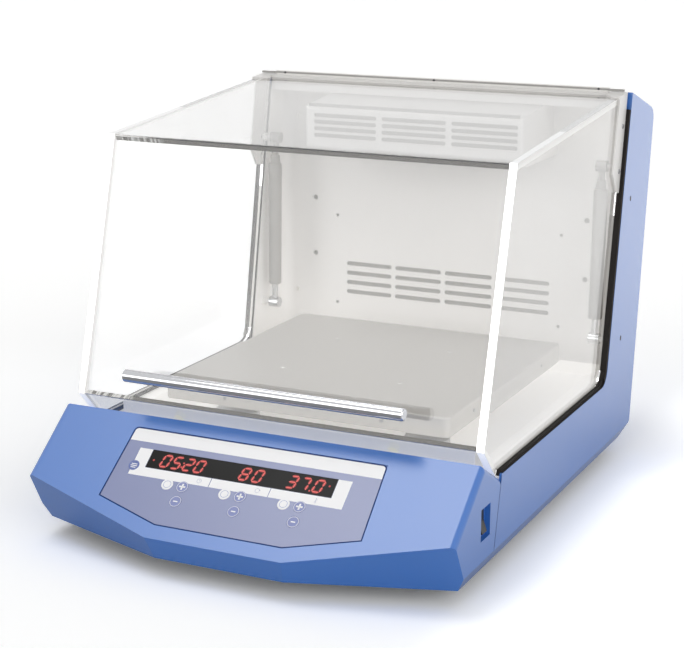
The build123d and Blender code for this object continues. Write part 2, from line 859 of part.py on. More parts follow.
def chamber_side():
    """Right-hand side wall: rounded sheet, the flange that carries the seal up the column, and a stud."""
    x_in = chamber_half_width
    x_out = chamber_half_width + chamber_wall
    y_corner = back_wall_y - chamber_corner_radius
    outer_r = chamber_corner_radius + chamber_wall
    centre = (x_in - chamber_corner_radius, y_corner)
    ring = Circle(outer_r) - Circle(chamber_corner_radius)
    quarter = ring & (Pos(outer_r / 2, outer_r / 2) * Rectangle(outer_r, outer_r))
    bend = extrude(Plane.XY.offset(seat_z) * Pos(*centre) * quarter, ceiling_z - seat_z)
    wall = block(x_in, x_out, column_foot_y - 20, y_corner, seat_z, ceiling_z)
    front_cut = [
        (seat_corner[0] + chamber_wall, seat_z - 1),
        (column_y(ceiling_z + 1, -column_seat_drop - chamber_wall / 2), ceiling_z + 1),
        (column_foot_y - 60, ceiling_z + 1),
        (column_foot_y - 60, seat_z - 1),
    ]
    wall = wall - side_prism(front_cut, x_in - 1, x_out + 1)
    path = [seat_corner, (column_y(ceiling_z, -column_seat_drop), ceiling_z)]
    flange = sheet(path, -chamber_wall, x_in, seat_half_width)
    flange = flange & block(x_in - 1, half_width, 0, back_wall_y, seat_z, ceiling_z)
    eye_end = spring_x + spring_eye_width / 2
    pin_start = eye_end - spring_eye_width + 2.4
    pin = rod((pin_start, spring_low_y, spring_low_z), (1, 0, 0), stud_radius, x_in - pin_start)
    nut = hexagon_rod((x_in, spring_low_y, spring_low_z), (-1, 0, 0), stud_hex_radius, stud_hex_width)
    return wall + bend + flange + pin + nut


def chamber_sides():
    wall = chamber_side()
    add("chamber_side_right", wall)
    add("chamber_side_left", mirrored(wall))


def chamber_back_wall():
    half = chamber_half_width - chamber_corner_radius
    y0 = back_wall_y
    y1 = back_wall_y + chamber_wall
    wall = block(-half, half, y0, y1, seat_z, ceiling_z)
    cutters = slot_grid(
        wall_slot_columns, wall_slot_rows, wall_slot_length, wall_slot_height,
        wall_slot_gap, wall_slot_pitch, wall_slot_top_z, y0 - 1, y1 + 1,
    )
    cutters = [Pos(wall_pattern_x, 0, 0) * cutter for cutter in cutters]
    for heights, x, radius in (
        (large_hole_heights, large_hole_x, large_hole_radius),
        (small_hole_heights, small_hole_x, small_hole_radius),
    ):
        for z in heights:
            for side in (-1, 1):
                cutters.append(rod((wall_pattern_x + side * x, y0 - 1, z), (0, 1, 0), radius, chamber_wall + 2))
    for cutter in cutters:
        wall = wall - cutter
    add("chamber_back_wall", wall)


def top_beam():
    """Folded sheet above the chamber: ceiling, front face up the column, and top under the rear panel."""
    t = pan_sheet
    inset = rear_inset + rear_sheet + free_gap
    front_low = (column_y(ceiling_z, -column_seat_drop), ceiling_z)
    top_z = hinge_z - knuckle_radius - hinge_leaf_sheet
    front_high = (column_y(top_z, -column_seat_drop), top_z)
    leaf_end = (hinge_y + hinge_leaf_depth + 4, top_z)
    tail = (back_wall_y + chamber_wall, min(top_z, top_edge_z(back_wall_y + chamber_wall, inset)))
    path = [(back_wall_y + chamber_wall, ceiling_z), front_low, front_high, leaf_end, tail]
    beam = sheet(path, -t, -chamber_half_width, chamber_half_width)
    add("top_beam", beam)


def edge_seal():
    """Right-hand seal: level run along the ledge, then up the column."""
    points = [
        (seat_front_y, seat_z),
        seat_corner,
        seat_top,
        seal_top,
        seal_corner,
        (hood_heel_y + free_gap, ledge_z + seal_level_rise),
    ]
    face = rounded_side_face(points, seal_inner_x, {4: hood_corner_radius + free_gap})
    return extrude(face, seal_outer_x - seal_inner_x, dir=(1, 0, 0))


def edge_seals():
    seal = edge_seal()
    add("edge_seal_right", seal)
    add("edge_seal_left", mirrored(seal))


# ---------------------------------------------------------------- heater cover, heater and blower
def heater_cover_form(inset):
    """Solid form of the heater cover: upright front, and a top that rises to the ceiling."""
    half = heater_cover_half_width - inset
    outline = [
        (heater_cover_front_y, heater_cover_bottom_z),
        (heater_cover_front_y, heater_cover_top_z),
        (heater_cover_rise_end_y, ceiling_z - free_gap),
        (back_wall_y, ceiling_z - free_gap),
        (back_wall_y, heater_cover_bottom_z),
    ]
    moved = moved_loop(outline, -inset)
    moved[0] = (moved[0][0], heater_cover_bottom_z - inset)
    moved[3] = (back_wall_y + inset, moved[3][1])
    moved[4] = (back_wall_y + inset, heater_cover_bottom_z - inset)
    form = side_prism(moved, heater_cover_x - half, heater_cover_x + half)
    front = form.edges().filter_by(lambda e: e.center().Y < heater_cover_front_y + inset + 0.1)
    front = front.filter_by(lambda e: e.center().Z > heater_cover_bottom_z)
    return fillet(front, heater_cover_radius - inset)


def heater_cover():
    front = heater_cover_front_y
    cover = heater_cover_form(0.0) - heater_cover_form(heater_cover_sheet)
    cutters = slot_grid(
        cover_slot_columns, cover_slot_rows, cover_slot_length, cover_slot_height,
        cover_slot_gap, cover_slot_pitch, cover_slot_top_z, front - 1, front + heater_cover_sheet + 1,
    )
    for cutter in cutters:
        cover = cover - cutter
    add("heater_cover", cover)


blower_plate_low = heater_cover_top_z - heater_cover_sheet - blower_plate_thickness
blower_top = blower_plate_low - blower_gap


def blower():
    plate = rod((0, blower_y, blower_plate_low), (0, 0, 1), blower_plate_radius, 20)
    plate = plate & heater_cover_form(heater_cover_sheet)
    shaft = rod((0, blower_y, blower_plate_low + 1), (0, 0, -1), blower_shaft_radius, blower_gap + blower_height + 1)
    add("blower_motor", plate + shaft)
    low = blower_top - blower_height
    disc = rod((0, blower_y, low), (0, 0, 1), blower_radius, 1.6)
    hub = rod((0, blower_y, low), (0, 0, 1), blower_hub_radius, blower_height)
    rotor = disc + hub
    for n in range(blower_blades):
        blade = block(blower_radius - 12, blower_radius - 1, -0.6, 0.6, 0, blower_height)
        blade = Pos(0, blower_y, low) * Rot(0, 0, n * 360 / blower_blades) * blade
        rotor = rotor + blade
    bore = rod((0, blower_y, low - 1), (0, 0, 1), blower_shaft_radius + running_clearance, blower_height + 2)
    add("blower_rotor", rotor - bore)


def heater_element():
    """Hairpin rod behind the slots, held by a block on the cover's left wall."""
    bend_x = heater_cover_x + heater_cover_half_width - heater_end_gap
    radius = (heater_high_z - heater_low_z) / 2
    wall_x = heater_cover_x - heater_cover_half_width + heater_cover_sheet
    low = rod((wall_x + 2, heater_y, heater_low_z), (1, 0, 0), heater_rod_radius, bend_x - wall_x - 2)
    high = rod((wall_x + 2, heater_y, heater_high_z), (1, 0, 0), heater_rod_radius, bend_x - wall_x - 2)
    centre = (bend_x, heater_y, (heater_low_z + heater_high_z) / 2)
    bend = Plane(origin=centre, x_dir=(1, 0, 0), z_dir=(0, -1, 0)) * Torus(radius, heater_rod_radius)
    bend = bend & block(
        bend_x, bend_x + 2 * radius, heater_y - 10, heater_y + 10, heater_low_z - 10, heater_high_z + 10
    )
    holder = block(
        wall_x, wall_x + 8, heater_y - heater_rod_radius - 2, heater_y + heater_rod_radius + 2,
        heater_low_z - heater_rod_radius - 2, heater_high_z + heater_rod_radius + 2,
    )
    add("heater_element", low + high + bend + holder)


# ---------------------------------------------------------------- hood
def hood_panels():
    outline = hood_outline()
    tip, front_low, front_top, top_rear, bottom_rear, heel = outline
    path = [tip, front_low, front_top, top_rear]
    inner = moved_path(path, -hood_sheet)
    clear_half = hood_half_width - hood_sheet
    names = ("hood_lower_strip", "hood_front", "hood_top")
    for number, name in enumerate(names):
        quad = [path[number], path[number + 1], inner[number + 1], inner[number]]
        panel = side_prism(quad, -clear_half, clear_half)
        if name == "hood_front":
            for x in (-handle_post_x, handle_post_x):
                panel = panel - handle_bolt(x)
        add(name, panel)
    face = rounded_side_face(outline, clear_half, {4: hood_corner_radius})
    side = extrude(face, hood_sheet, dir=(1, 0, 0))
    bolt_radius = stud_thread_radius + running_clearance
    side = side - rod((clear_half - 1, spring_high_y, spring_high_z), (1, 0, 0), bolt_radius, hood_sheet + 2)
    add("hood_side_right", side)
    add("hood_side_left", mirrored(side))


def handle_frame(x):
    """Point on the front panel behind the handle, and the panel's outward direction."""
    run = Vector(0, hood_front_top_y - hood_front_bottom_y, hood_front_top_z - hood_front_bottom_z).normalized()
    outward = Vector(0, -run.Z, run.Y)
    share = (handle_z - hood_front_bottom_z + handle_standoff * -run.Y) / run.Z
    foot = Vector(x, hood_front_bottom_y, hood_front_bottom_z) + run * share
    return foot, outward


def handle_bolt(x):
    foot, outward = handle_frame(x)
    radius = handle_post_radius / 2 + running_clearance
    return rod(foot - outward * (hood_sheet + 1), outward, radius, hood_sheet + 2)


def handle():
    foot, outward = handle_frame(0)
    centre = foot + outward * handle_standoff
    bar = rod((-handle_half_length, centre.Y, centre.Z), (1, 0, 0), handle_radius, 2 * handle_half_length)
    bar = chamfer(bar.edges(), 1.0)
    for x in (-handle_post_x, handle_post_x):
        foot, outward = handle_frame(x)
        bar = bar + rod(foot, outward, handle_post_radius, handle_standoff)
        bolt = rod(foot - outward * hood_sheet, outward, handle_post_radius / 2, hood_sheet)
        nut = rod(foot - outward * (hood_sheet + 2.0), outward, handle_post_radius, 2.0)
        bar = bar + bolt + nut
    add("handle", bar)


def hood_bracket():
    """Right-hand bracket: arm down the hood's rear edge, tab over the top, and the upper stud."""
    outline = hood_outline()
    front_top, top_rear = outline[2:4]
    outer = hood_half_width + frame_sheet
    raised = moved_line(front_top, top_rear, frame_sheet)
    rear_line = ((column_y(0.0, hood_column_forward), 0.0), (column_y(ledge_z, hood_column_forward), ledge_z))
    width = bracket_width * cos(column_lean)
    front_line = moved_line(rear_line[0], rear_line[1], width)
    tip_line = moved_line(rear_line[0], rear_line[1], bracket_tip_width)
    tip_rear = (column_y(bracket_tip_z, hood_column_forward), bracket_tip_z)
    across = (tip_rear[0] - cos(column_lean), tip_rear[1] + sin(column_lean))
    level = ((0.0, bracket_cut_z), (1.0, bracket_cut_z))
    arm = [
        tip_rear,
        crossing(raised, rear_line),
        crossing(raised, front_line),
        crossing(level, front_line),
        crossing((tip_rear, across), tip_line),
    ]
    bracket = side_prism(arm, hood_half_width, outer)
    tab_start = frame_strip_end + bracket_gap
    tab_front = crossing((front_top, top_rear), front_line)
    tab = sheet([tab_front, top_rear], frame_sheet, tab_start, hood_half_width + 0.5)
    corner = tab.edges().filter_by(lambda e: e.center().X < tab_start + 0.1 and e.center().Y < tab_front[0] + 0.1)
    tab = chamfer(corner, bracket_tab_chamfer)
    bracket = bracket + tab
    tip_x = spring_x + spring_eye_width / 2 + stud_gap
    inner_x = hood_half_width - hood_sheet
    bolt = rod((inner_x - 1, spring_high_y, spring_high_z), (1, 0, 0), stud_thread_radius, outer - inner_x + 1)
    nut = hexagon_rod((inner_x, spring_high_y, spring_high_z), (-1, 0, 0), stud_hex_radius, stud_hex_width)
    pin = rod((tip_x, spring_high_y, spring_high_z), (1, 0, 0), stud_radius, inner_x - tip_x)
    return bracket + bolt + nut + pin


def hood_frame():
    """White metal at the hood's rear edge: the moving hinge strip with its knuckles, and two brackets."""
    front_top, top_rear = hood_outline()[2:4]
    run = Vector(top_rear[0] - front_top[0], top_rear[1] - front_top[1]).normalized()
    strip_front = (top_rear[0] - run.X * frame_strip_depth, top_rear[1] - run.Y * frame_strip_depth)
    strip = sheet([strip_front, top_rear], frame_sheet, -frame_strip_end, frame_strip_end)
    raised = moved_line(strip_front, top_rear, frame_sheet)
    ridge_y = top_rear[0] - hinge_ridge_inset
    ridge = block(
        -frame_strip_end, frame_strip_end, ridge_y - hinge_ridge_sheet, ridge_y, top_rear[1] + 0.5, overall_height
    )
    ridge = fillet(ridge.edges().filter_by(Axis.X).group_by(Axis.Z)[-1], hinge_ridge_sheet / 2 - 0.2)
    strip = strip + ridge
    tab = [
        top_rear,
        (hinge_y, hinge_z - knuckle_radius + 0.2),
        (hinge_y, hinge_z + knuckle_radius - 0.2),
        raised[1],
    ]
    for x0, x1 in knuckle_spans(moving=True):
        strip = strip + rod((x0, hinge_y, hinge_z), (1, 0, 0), knuckle_radius, x1 - x0) + side_prism(tab, x0, x1)
    radius = hinge_pin_radius + running_clearance
    start = (-hinge_half_length - 1, hinge_y, hinge_z)
    strip = strip - rod(start, (1, 0, 0), radius, 2 * hinge_half_length + 2)
    bracket = hood_bracket()
    add("hood_frame", Compound([strip, bracket, mirrored(bracket)]))


def knuckle_spans(moving):
    """X spans of the hinge knuckles: fixed and moving ones take turns, fixed at both ends."""
    count = 2 * knuckle_pairs + 1
    width = 2 * hinge_half_length / count
    spans = []
    for n in range(count):
        if (n % 2 == 1) == moving:
            start = -hinge_half_length + n * width
            spans.append((start + knuckle_gap / 2, start + width - knuckle_gap / 2))
    return spans


def hinge_leaf():
    """Fixed leaf on the top beam, with its knuckles and the pin."""
    top = hinge_z - knuckle_radius
    leaf = block(
        -hinge_half_length, hinge_half_length, hinge_y + knuckle_radius + 0.4, hinge_y + hinge_leaf_depth,
        top - hinge_leaf_sheet, top,
    )
    pin = rod((-hinge_half_length, hinge_y, hinge_z), (1, 0, 0), hinge_pin_radius, 2 * hinge_half_length)
    leaf = leaf + pin
    for x0, x1 in knuckle_spans(moving=False):
        knuckle = rod((x0, hinge_y, hinge_z), (1, 0, 0), knuckle_radius, x1 - x0)
        tab = block(x0, x1, hinge_y, hinge_y + knuckle_radius + 2, top - hinge_leaf_sheet, hinge_z - 1)
        leaf = leaf + knuckle + tab
    add("hinge_leaf", leaf)


def hood_buffers():
    """Rubber pads on the slope behind the deck, cut parallel to the hood's lower strip."""
    fall = (nose_rear_z - nose_heel_z) / (seam_y(nose_heel_z) - nose_rear_y)
    z = nose_rear_z - (buffer_y - nose_rear_y) * fall
    outward = Vector(0, fall, 1).normalized()
    strip_run = Vector(0, hood_tip_y - hood_front_bottom_y, hood_tip_z - hood_front_bottom_z).normalized()
    strip_out = Vector(0, strip_run.Z, -strip_run.Y)
    stop = Vector(0, hood_tip_y, hood_tip_z) + strip_out * free_gap
    pads = []
    for x in (-buffer_x, buffer_x):
        pad = rod((x, buffer_y, z), outward, buffer_radius, 20)
        pads.append(keep_side(pad, stop, -strip_out))
    add("hood_buffers", Compound(pads))


# ---------------------------------------------------------------- gas springs
spring_run = Vector(0, spring_high_y - spring_low_y, spring_high_z - spring_low_z)
spring_up = spring_run.normalized()
spring_length = spring_run.length
spring_foot = Vector(spring_x, spring_low_y, spring_low_z)


def spring_rod():
    """Right-hand rod: eye on the lower stud, rod and piston."""
    eye = rod(spring_foot - Vector(spring_eye_width / 2, 0, 0), (1, 0, 0), spring_eye_radius, spring_eye_width)
    neck = rod(spring_foot, spring_up, spring_neck_radius, spring_tube_start - 2)
    length = spring_tube_start + spring_tube_length - spring_guide_length - 4
    shaft = rod(spring_foot, spring_up, spring_rod_radius, length)
    piston_radius = spring_tube_radius - spring_tube_wall - running_clearance
    piston = rod(spring_foot + spring_up * (length - 8), spring_up, piston_radius, 8)
    depth = spring_eye_width - 2.0
    start = spring_foot + Vector(spring_eye_width / 2 - depth, 0, 0)
    bore = rod(start, (1, 0, 0), stud_radius + running_clearance, depth + 1)
    return (eye + neck + shaft + piston) - bore


def spring_tube():
    """Right-hand tube: guided on the rod, with the upper eye."""
    start = spring_foot + spring_up * spring_tube_start
    tube = rod(start, spring_up, spring_tube_radius, spring_tube_length)
    tube = chamfer(tube.edges(), 1.2)
    collar_start = start + spring_up * spring_tube_length
    collar = rod(collar_start, spring_up, spring_collar_radius, spring_collar_length)
    reach = spring_length - spring_tube_start - spring_tube_length
    neck = rod(collar_start, spring_up, spring_neck_radius, reach)
    top = spring_foot + spring_up * spring_length
    eye = rod(top - Vector(spring_eye_width / 2, 0, 0), (1, 0, 0), spring_eye_radius, spring_eye_width)
    hollow_start = start + spring_up * spring_guide_length
    hollow_length = spring_tube_length - spring_guide_length - 3
    hollow = rod(hollow_start, spring_up, spring_tube_radius - spring_tube_wall, hollow_length)
    guide = rod(start - spring_up, spring_up, spring_rod_radius + running_clearance, spring_guide_length + 2)
    return tube + collar + neck + eye - hollow - guide


def gas_springs():
    low = spring_rod()
    high = spring_tube()
    add("gas_rod_right", low)
    add("gas_rod_left", mirrored(low))
    add("gas_tube_right", high)
    add("gas_tube_left", mirrored(high))


def hexagon_rod(start, direction, radius, length):
    return extrude(Plane(origin=start, z_dir=direction) * RegularPolygon(radius, 6), length)


# ---------------------------------------------------------------- tray and drive
def tray():
    outer = block(
        -tray_half_width, tray_half_width, tray_y - tray_half_depth, tray_y + tray_half_depth,
        tray_top_z - tray_skirt, tray_top_z,
    )
    outer = fillet(outer.edges().filter_by(Axis.Z), tray_corner_radius)
    outer = fillet(outer.edges().group_by(Axis.Z)[-1], tray_sheet * 1.2)
    t = tray_sheet
    inner = block(
        -tray_half_width + t, tray_half_width - t,
        tray_y - tray_half_depth + t, tray_y + tray_half_depth - t,
        tray_top_z - tray_skirt - 1, tray_top_z - t,
    )
    inner = fillet(inner.edges().filter_by(Axis.Z), tray_corner_radius - t)
    plate = outer - inner
    for x, y in tray_holes():
        plate = plate - rod((x, y, tray_top_z - t - 1), (0, 0, 1), tray_hole_radius, t + 2)
    add("tray", plate)


def tray_holes():
    half = tray_hole_spacing / 2
    return [(x, tray_y + y) for x in (-half, half) for y in (-half, half)]


def platform_carrier():
    low = carrier_top_z - carrier_thickness
    plate = block(-carrier_half_width, carrier_half_width, carrier_front_y, carrier_rear_y, low, carrier_top_z)
    plate = fillet(plate.edges().filter_by(Axis.Z), carrier_corner_radius)
    for x in (-carrier_half_width + 58, carrier_half_width - 58):
        plate = plate - rod((x, tray_y + 20, low - 1), (0, 0, 1), carrier_window_radius, carrier_thickness + 2)
    hubs = [(0.0, drive_y, crank_pin_radius)]
    hubs += [(x, drive_y + y, support_pin_radius) for x, y in support_places]
    hub_low = low - carrier_hub_drop
    for x, y, radius in hubs:
        plate = plate + rod((x, y + orbit_radius, hub_low), (0, 0, 1), carrier_hub_radius, carrier_top_z - hub_low)
    for x, y in tray_holes():
        plate = plate + rod((x, y, low), (0, 0, 1), post_radius, tray_top_z - tray_sheet - low)
    for x, y, radius in hubs:
        bore = rod((x, y + orbit_radius, hub_low - 1), (0, 0, 1), radius + running_clearance, 60)
        plate = plate - bore
    for x, y in tray_holes():
        plate = plate - rod((x, y, low - 1), (0, 0, 1), tray_hole_radius, 60)
    add("platform_carrier", plate)


web_low_z = pan_floor_z + pan_sheet + web_gap


def crank(x, y, shaft_radius, web_radius, pin_radius):
    """Eccentric shaft: shaft, web and a pin that stands off the axis."""
    shaft = rod((x, y, base_top + 2), (0, 0, 1), shaft_radius, web_low_z - base_top - 2)
    web = rod((x, y, web_low_z), (0, 0, 1), web_radius, crank_web_thickness)
    pin_low = web_low_z + crank_web_thickness
    pin = rod((x, y + orbit_radius, pin_low), (0, 0, 1), pin_radius, carrier_top_z + 2 - pin_low)
    return shaft + web + pin


def cranks():
    add("main_crank", crank(0, drive_y, crank_shaft_radius, crank_web_radius, crank_pin_radius))
    for number, (x, y) in enumerate(support_places, start=1):
        piece = crank(x, drive_y + y, support_shaft_radius, support_web_radius, support_pin_radius)
        add(f"support_crank_{number}", piece)


def bearing_housing(x, y, flange_radius, body_radius, top_z, shaft_radius):
    housing = rod((x, y, base_top), (0, 0, 1), flange_radius, housing_flange_thickness)
    housing = housing + rod((x, y, base_top), (0, 0, 1), body_radius, top_z - base_top)
    return housing - rod((x, y, base_top - 1), (0, 0, 1), shaft_radius + running_clearance, top_z)


def bearing_housings():
    housings = [
        bearing_housing(0, drive_y, housing_flange_radius, housing_body_radius, housing_top_z, crank_shaft_radius)
    ]
    for x, y in support_places:
        housings.append(
            bearing_housing(
                x, drive_y + y, support_flange_radius, support_body_radius, support_top_z, support_shaft_radius
            )
        )
    add("bearing_housings", Compound(housings))


def driven_pulley():
    """Pulley keyed to the main crank, with its counterweight opposite the pin."""
    axis = (0, drive_y, pulley_low_z)
    rim = rod(axis, (0, 0, 1), pulley_radius, pulley_thickness)
    recess_low = pulley_low_z + pulley_web_thickness
    recess = rod((0, drive_y, recess_low), (0, 0, 1), pulley_radius - 6, pulley_thickness)
    hub = rod(axis, (0, 0, 1), crank_shaft_radius + 8, pulley_thickness)
    weight_low = pulley_low_z - counterweight_height
    weight = rod((0, drive_y, weight_low), (0, 0, 1), counterweight_outer_radius, counterweight_height)
    weight = weight - rod((0, drive_y, weight_low - 1), (0, 0, 1), counterweight_inner_radius, counterweight_height + 2)
    weight = weight & block(-pulley_radius, pulley_radius, drive_y - pulley_radius, drive_y, weight_low, pulley_low_z)
    bore = rod((0, drive_y, weight_low - 1), (0, 0, 1), crank_shaft_radius, 60)
    add("driven_pulley", rim - recess + hub + weight - bore)


motor_y = drive_y - motor_distance


def motor_and_belt():
    body = rod((0, motor_y, base_top), (0, 0, 1), motor_radius, motor_height)
    body = chamfer(body.edges().group_by(Axis.Z)[-1], 2.0)
    shaft_bore = rod((0, motor_y, base_top + 4), (0, 0, 1), motor_shaft_radius + running_clearance, motor_height)
    add("drive_motor", body - shaft_bore)
    shaft = rod((0, motor_y, base_top + 5), (0, 0, 1), motor_shaft_radius, pulley_low_z + pulley_thickness - base_top - 5)
    pulley = rod((0, motor_y, pulley_low_z), (0, 0, 1), motor_pulley_radius, pulley_thickness)
    flange = rod((0, motor_y, pulley_low_z), (0, 0, 1), motor_pulley_radius + 3, 1.0)
    add("motor_pulley", shaft + pulley + flange)
    belt = belt_loop(free_gap + belt_thickness) - belt_loop(free_gap)
    add("drive_belt", belt)


def belt_loop(grow):
    """Solid inside a line round both pulleys, a distance outside their rims."""
    low = pulley_low_z + (pulley_thickness - belt_height) / 2
    large = pulley_radius + grow
    small = motor_pulley_radius + grow
    lean = math.asin((large - small) / motor_distance)
    outline = [
        (large * math.cos(lean), drive_y - large * math.sin(lean)),
        (-large * math.cos(lean), drive_y - large * math.sin(lean)),
        (-small * math.cos(lean), motor_y - small * math.sin(lean)),
        (small * math.cos(lean), motor_y - small * math.sin(lean)),
    ]
    solid = plan_prism(outline, low, low + belt_height)
    solid = solid + rod((0, drive_y, low), (0, 0, 1), large, belt_height)
    return solid + rod((0, motor_y, low), (0, 0, 1), small, belt_height)


# ---------------------------------------------------------------- rear side
def rear_panel():
    """Blue sheet between the side covers: falling top, round corner, leaning back and a turned-in foot."""
    half = half_width - cover_depth - free_gap
    foot, heel, corner = moved_loop(cover_outline(), rear_inset)[1:4]
    start_y = hinge_y + knuckle_radius + 1.2
    outer = [(start_y, top_edge_z(start_y, rear_inset)), corner, heel, foot]
    points = outer + moved_path(outer, -rear_sheet)[::-1]
    inner_corner = len(points) - 2
    radii = {1: rear_corner_radius, inner_corner: rear_corner_radius - rear_sheet}
    panel = extrude(rounded_side_face(points, -half, radii), 2 * half, dir=(1, 0, 0))
    panel = panel - rear_block(inlet_x, inlet_z, inlet_width - 6, inlet_height - 6, -10, 10)
    panel = panel - rear_block(sockets_x, sockets_z, sockets_width - 8, sockets_height - 8, -10, 10)
    add("rear_panel", panel)


def service_outline(inset, reach):
    """(y, z) outline of the service cover, from inside the rear panel's face to its own back."""
    low = service_low_z + inset
    high = service_high_z - inset
    back = rear_y - inset
    return [
        (rear_edge_y(low, rear_inset) - reach, low),
        (back, low),
        (back, high - service_slope_height),
        (rear_edge_y(high, rear_inset) - reach, high),
    ]


def service_cover():
    outer = side_prism(service_outline(0.0, 30.0), -service_half_width, service_half_width)
    half = service_half_width - service_sheet
    inner = side_prism(service_outline(service_sheet, 40.0), -half, half)
    cover = outer - inner
    normal = Vector(0, -cos(rear_lean), sin(rear_lean))
    cover = keep_side(cover, Vector(0, rear_edge_y(service_low_z, rear_inset), service_low_z), normal)
    for x in (-louvre_x, louvre_x):
        for row in range(louvre_rows):
            z = service_low_z + 40 + row * louvre_pitch
            face = Plane.XZ.offset(-rear_y - 2) * Pos(x, z) * SlotOverall(louvre_length, louvre_height)
            cover = cover - extrude(face, 6, dir=(0, -1, 0))
    add("service_cover", cover)


def power_supply():
    box = rear_block(0, supply_z, 2 * supply_half_width, supply_height, 0, supply_depth)
    for x in (-supply_half_width + 16, supply_half_width - 16):
        box = box + rear_block(x, supply_z, 10, supply_height + 16, 0, 3)
    add("power_supply", box)


def mains_inlet():
    flange = rear_block(inlet_x, inlet_z, inlet_width, inlet_height, 0, inlet_flange)
    body = rear_block(inlet_x, inlet_z, inlet_width - 8, inlet_height - 8, -inlet_body_depth, 0)
    socket = rear_block(inlet_x + 7, inlet_z, 24.5, 17.0, -16, inlet_flange + 1)
    inlet = flange + body - socket
    for dx, dz in ((-7, 0), (0, 4), (7, 0)):
        inlet = inlet + rear_block(inlet_x + 7 + dx, inlet_z + dz - 2, 2.0, 4.0, -16, -4.5)
    drawer = rear_block(inlet_x - 15, inlet_z, 11.0, 19.0, inlet_flange, inlet_flange + 1.5)
    add("mains_inlet", inlet + drawer)


def data_sockets():
    """Plate with two data sockets, each a steel shell round an insulating block."""
    sockets = rear_block(sockets_x, sockets_z, sockets_width, sockets_height, 0, 1.5)
    inside = rear_block(
        sockets_x, sockets_z, sockets_width - 10, sockets_height - 10, -sockets_body_depth, 0
    )
    sockets = sockets + inside
    for dx, width in ((-14, 20.0), (15, 14.0)):
        sockets = sockets + rear_block(sockets_x + dx, sockets_z, width, 9.0, 0, 6)
        sockets = sockets - rear_block(sockets_x + dx, sockets_z, width - 1.6, 7.4, 5, 7)
    add("data_sockets", sockets)


cover_screws = ((rear_y - 138.2, ledge_z + 202.2), (rear_y - 154.1, ledge_z + 42.8))
wall_screw_x = chamber_half_width - 18.0
wall_screw_heights = (ceiling_z - 34.6, ledge_z + 48.4)


def screw_hole(place, outward, depth):
    start = Vector(*place) - Vector(*outward) * (depth + 1)
    return rod(start, outward, screw_head_radius + fit_gap, depth + 2)


def screw(place, outward):
    """Round screw head with a driver slot."""
    head = rod(place, outward, screw_head_radius, screw_head_height)
    plane = Plane(origin=Vector(*place) + Vector(*outward) * screw_head_height, z_dir=outward)
    slot = plane * Box(screw_head_radius * 4, screw_slot, screw_slot * 2)
    return head - slot


def housing_screws():
    """Flush screws in the side covers, and screws on the chamber's back wall."""
    screws = []
    for side in (-1, 1):
        for y, z in cover_screws:
            place = (side * (half_width - screw_head_height), y, z)
            screws.append(screw(place, (side, 0, 0)))
    for side in (-1, 1):
        for z in wall_screw_heights:
            screws.append(screw((side * wall_screw_x, back_wall_y, z), (0, -1, 0)))
    add("housing_screws", Compound(screws))


# ---------------------------------------------------------------- the whole machine
def build():
    base_plate()
    rubber_feet()
    control_nose()
    label_and_window()
    keys()
    control_board()
    rocker_switch()
    side_covers()
    chamber_floor()
    chamber_sides()
    chamber_back_wall()
    top_beam()
    edge_seals()
    heater_cover()
    blower()
    heater_element()
    hood_panels()
    handle()
    hood_frame()
    hinge_leaf()
    hood_buffers()
    gas_springs()
    tray()
    platform_carrier()
    cranks()
    bearing_housings()
    driven_pulley()
    motor_and_belt()
    rear_panel()
    service_cover()
    power_supply()
    mains_inlet()
    data_sockets()
    housing_screws()


build()
os.makedirs("parts", exist_ok=True)
for node_name, node in PARTS.items():
    export_step(node, f"parts/{node_name}.step")
print(len(PARTS), "nodes")
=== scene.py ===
# %% [markdown]
# # Dressing a heated benchtop shaker
#
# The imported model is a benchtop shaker: a blue housing, a white heated chamber, a square shaking tray
# and a clear hinged hood. It is loaded as a fixed frame, and everything in this lesson is put on it in metres.
# The order is camera, light, finishes, and then the small pieces that the frame leaves out: the print on the
# control label, the lit digits, the screws and the cemented joints of the hood.

import json
import math

import bmesh
import bpy
import numpy as np
from mathutils import Matrix, Vector


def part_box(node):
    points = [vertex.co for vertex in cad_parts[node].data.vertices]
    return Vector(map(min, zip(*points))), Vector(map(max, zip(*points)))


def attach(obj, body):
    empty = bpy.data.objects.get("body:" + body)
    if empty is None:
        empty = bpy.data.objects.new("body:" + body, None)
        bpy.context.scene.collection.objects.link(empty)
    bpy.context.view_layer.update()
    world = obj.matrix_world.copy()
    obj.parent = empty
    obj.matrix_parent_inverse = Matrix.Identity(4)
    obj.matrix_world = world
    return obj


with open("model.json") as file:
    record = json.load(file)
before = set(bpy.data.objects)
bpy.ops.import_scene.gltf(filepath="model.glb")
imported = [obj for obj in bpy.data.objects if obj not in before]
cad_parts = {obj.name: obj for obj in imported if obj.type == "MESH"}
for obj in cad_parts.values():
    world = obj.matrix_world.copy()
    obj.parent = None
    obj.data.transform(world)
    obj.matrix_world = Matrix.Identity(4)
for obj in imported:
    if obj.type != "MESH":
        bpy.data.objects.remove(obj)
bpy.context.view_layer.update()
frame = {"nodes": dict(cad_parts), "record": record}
nodes = frame["nodes"]
MM = 0.001

# %% [markdown]
# ## The camera
#
# The photograph was taken from the right and a little above, with a long lens, so that parallel edges stay
# nearly parallel. Its focal length, place and angles were worked out from the edges of the housing. The camera's
# axes are written as a matrix here, because the small roll is easier to read in it than in Euler angles.

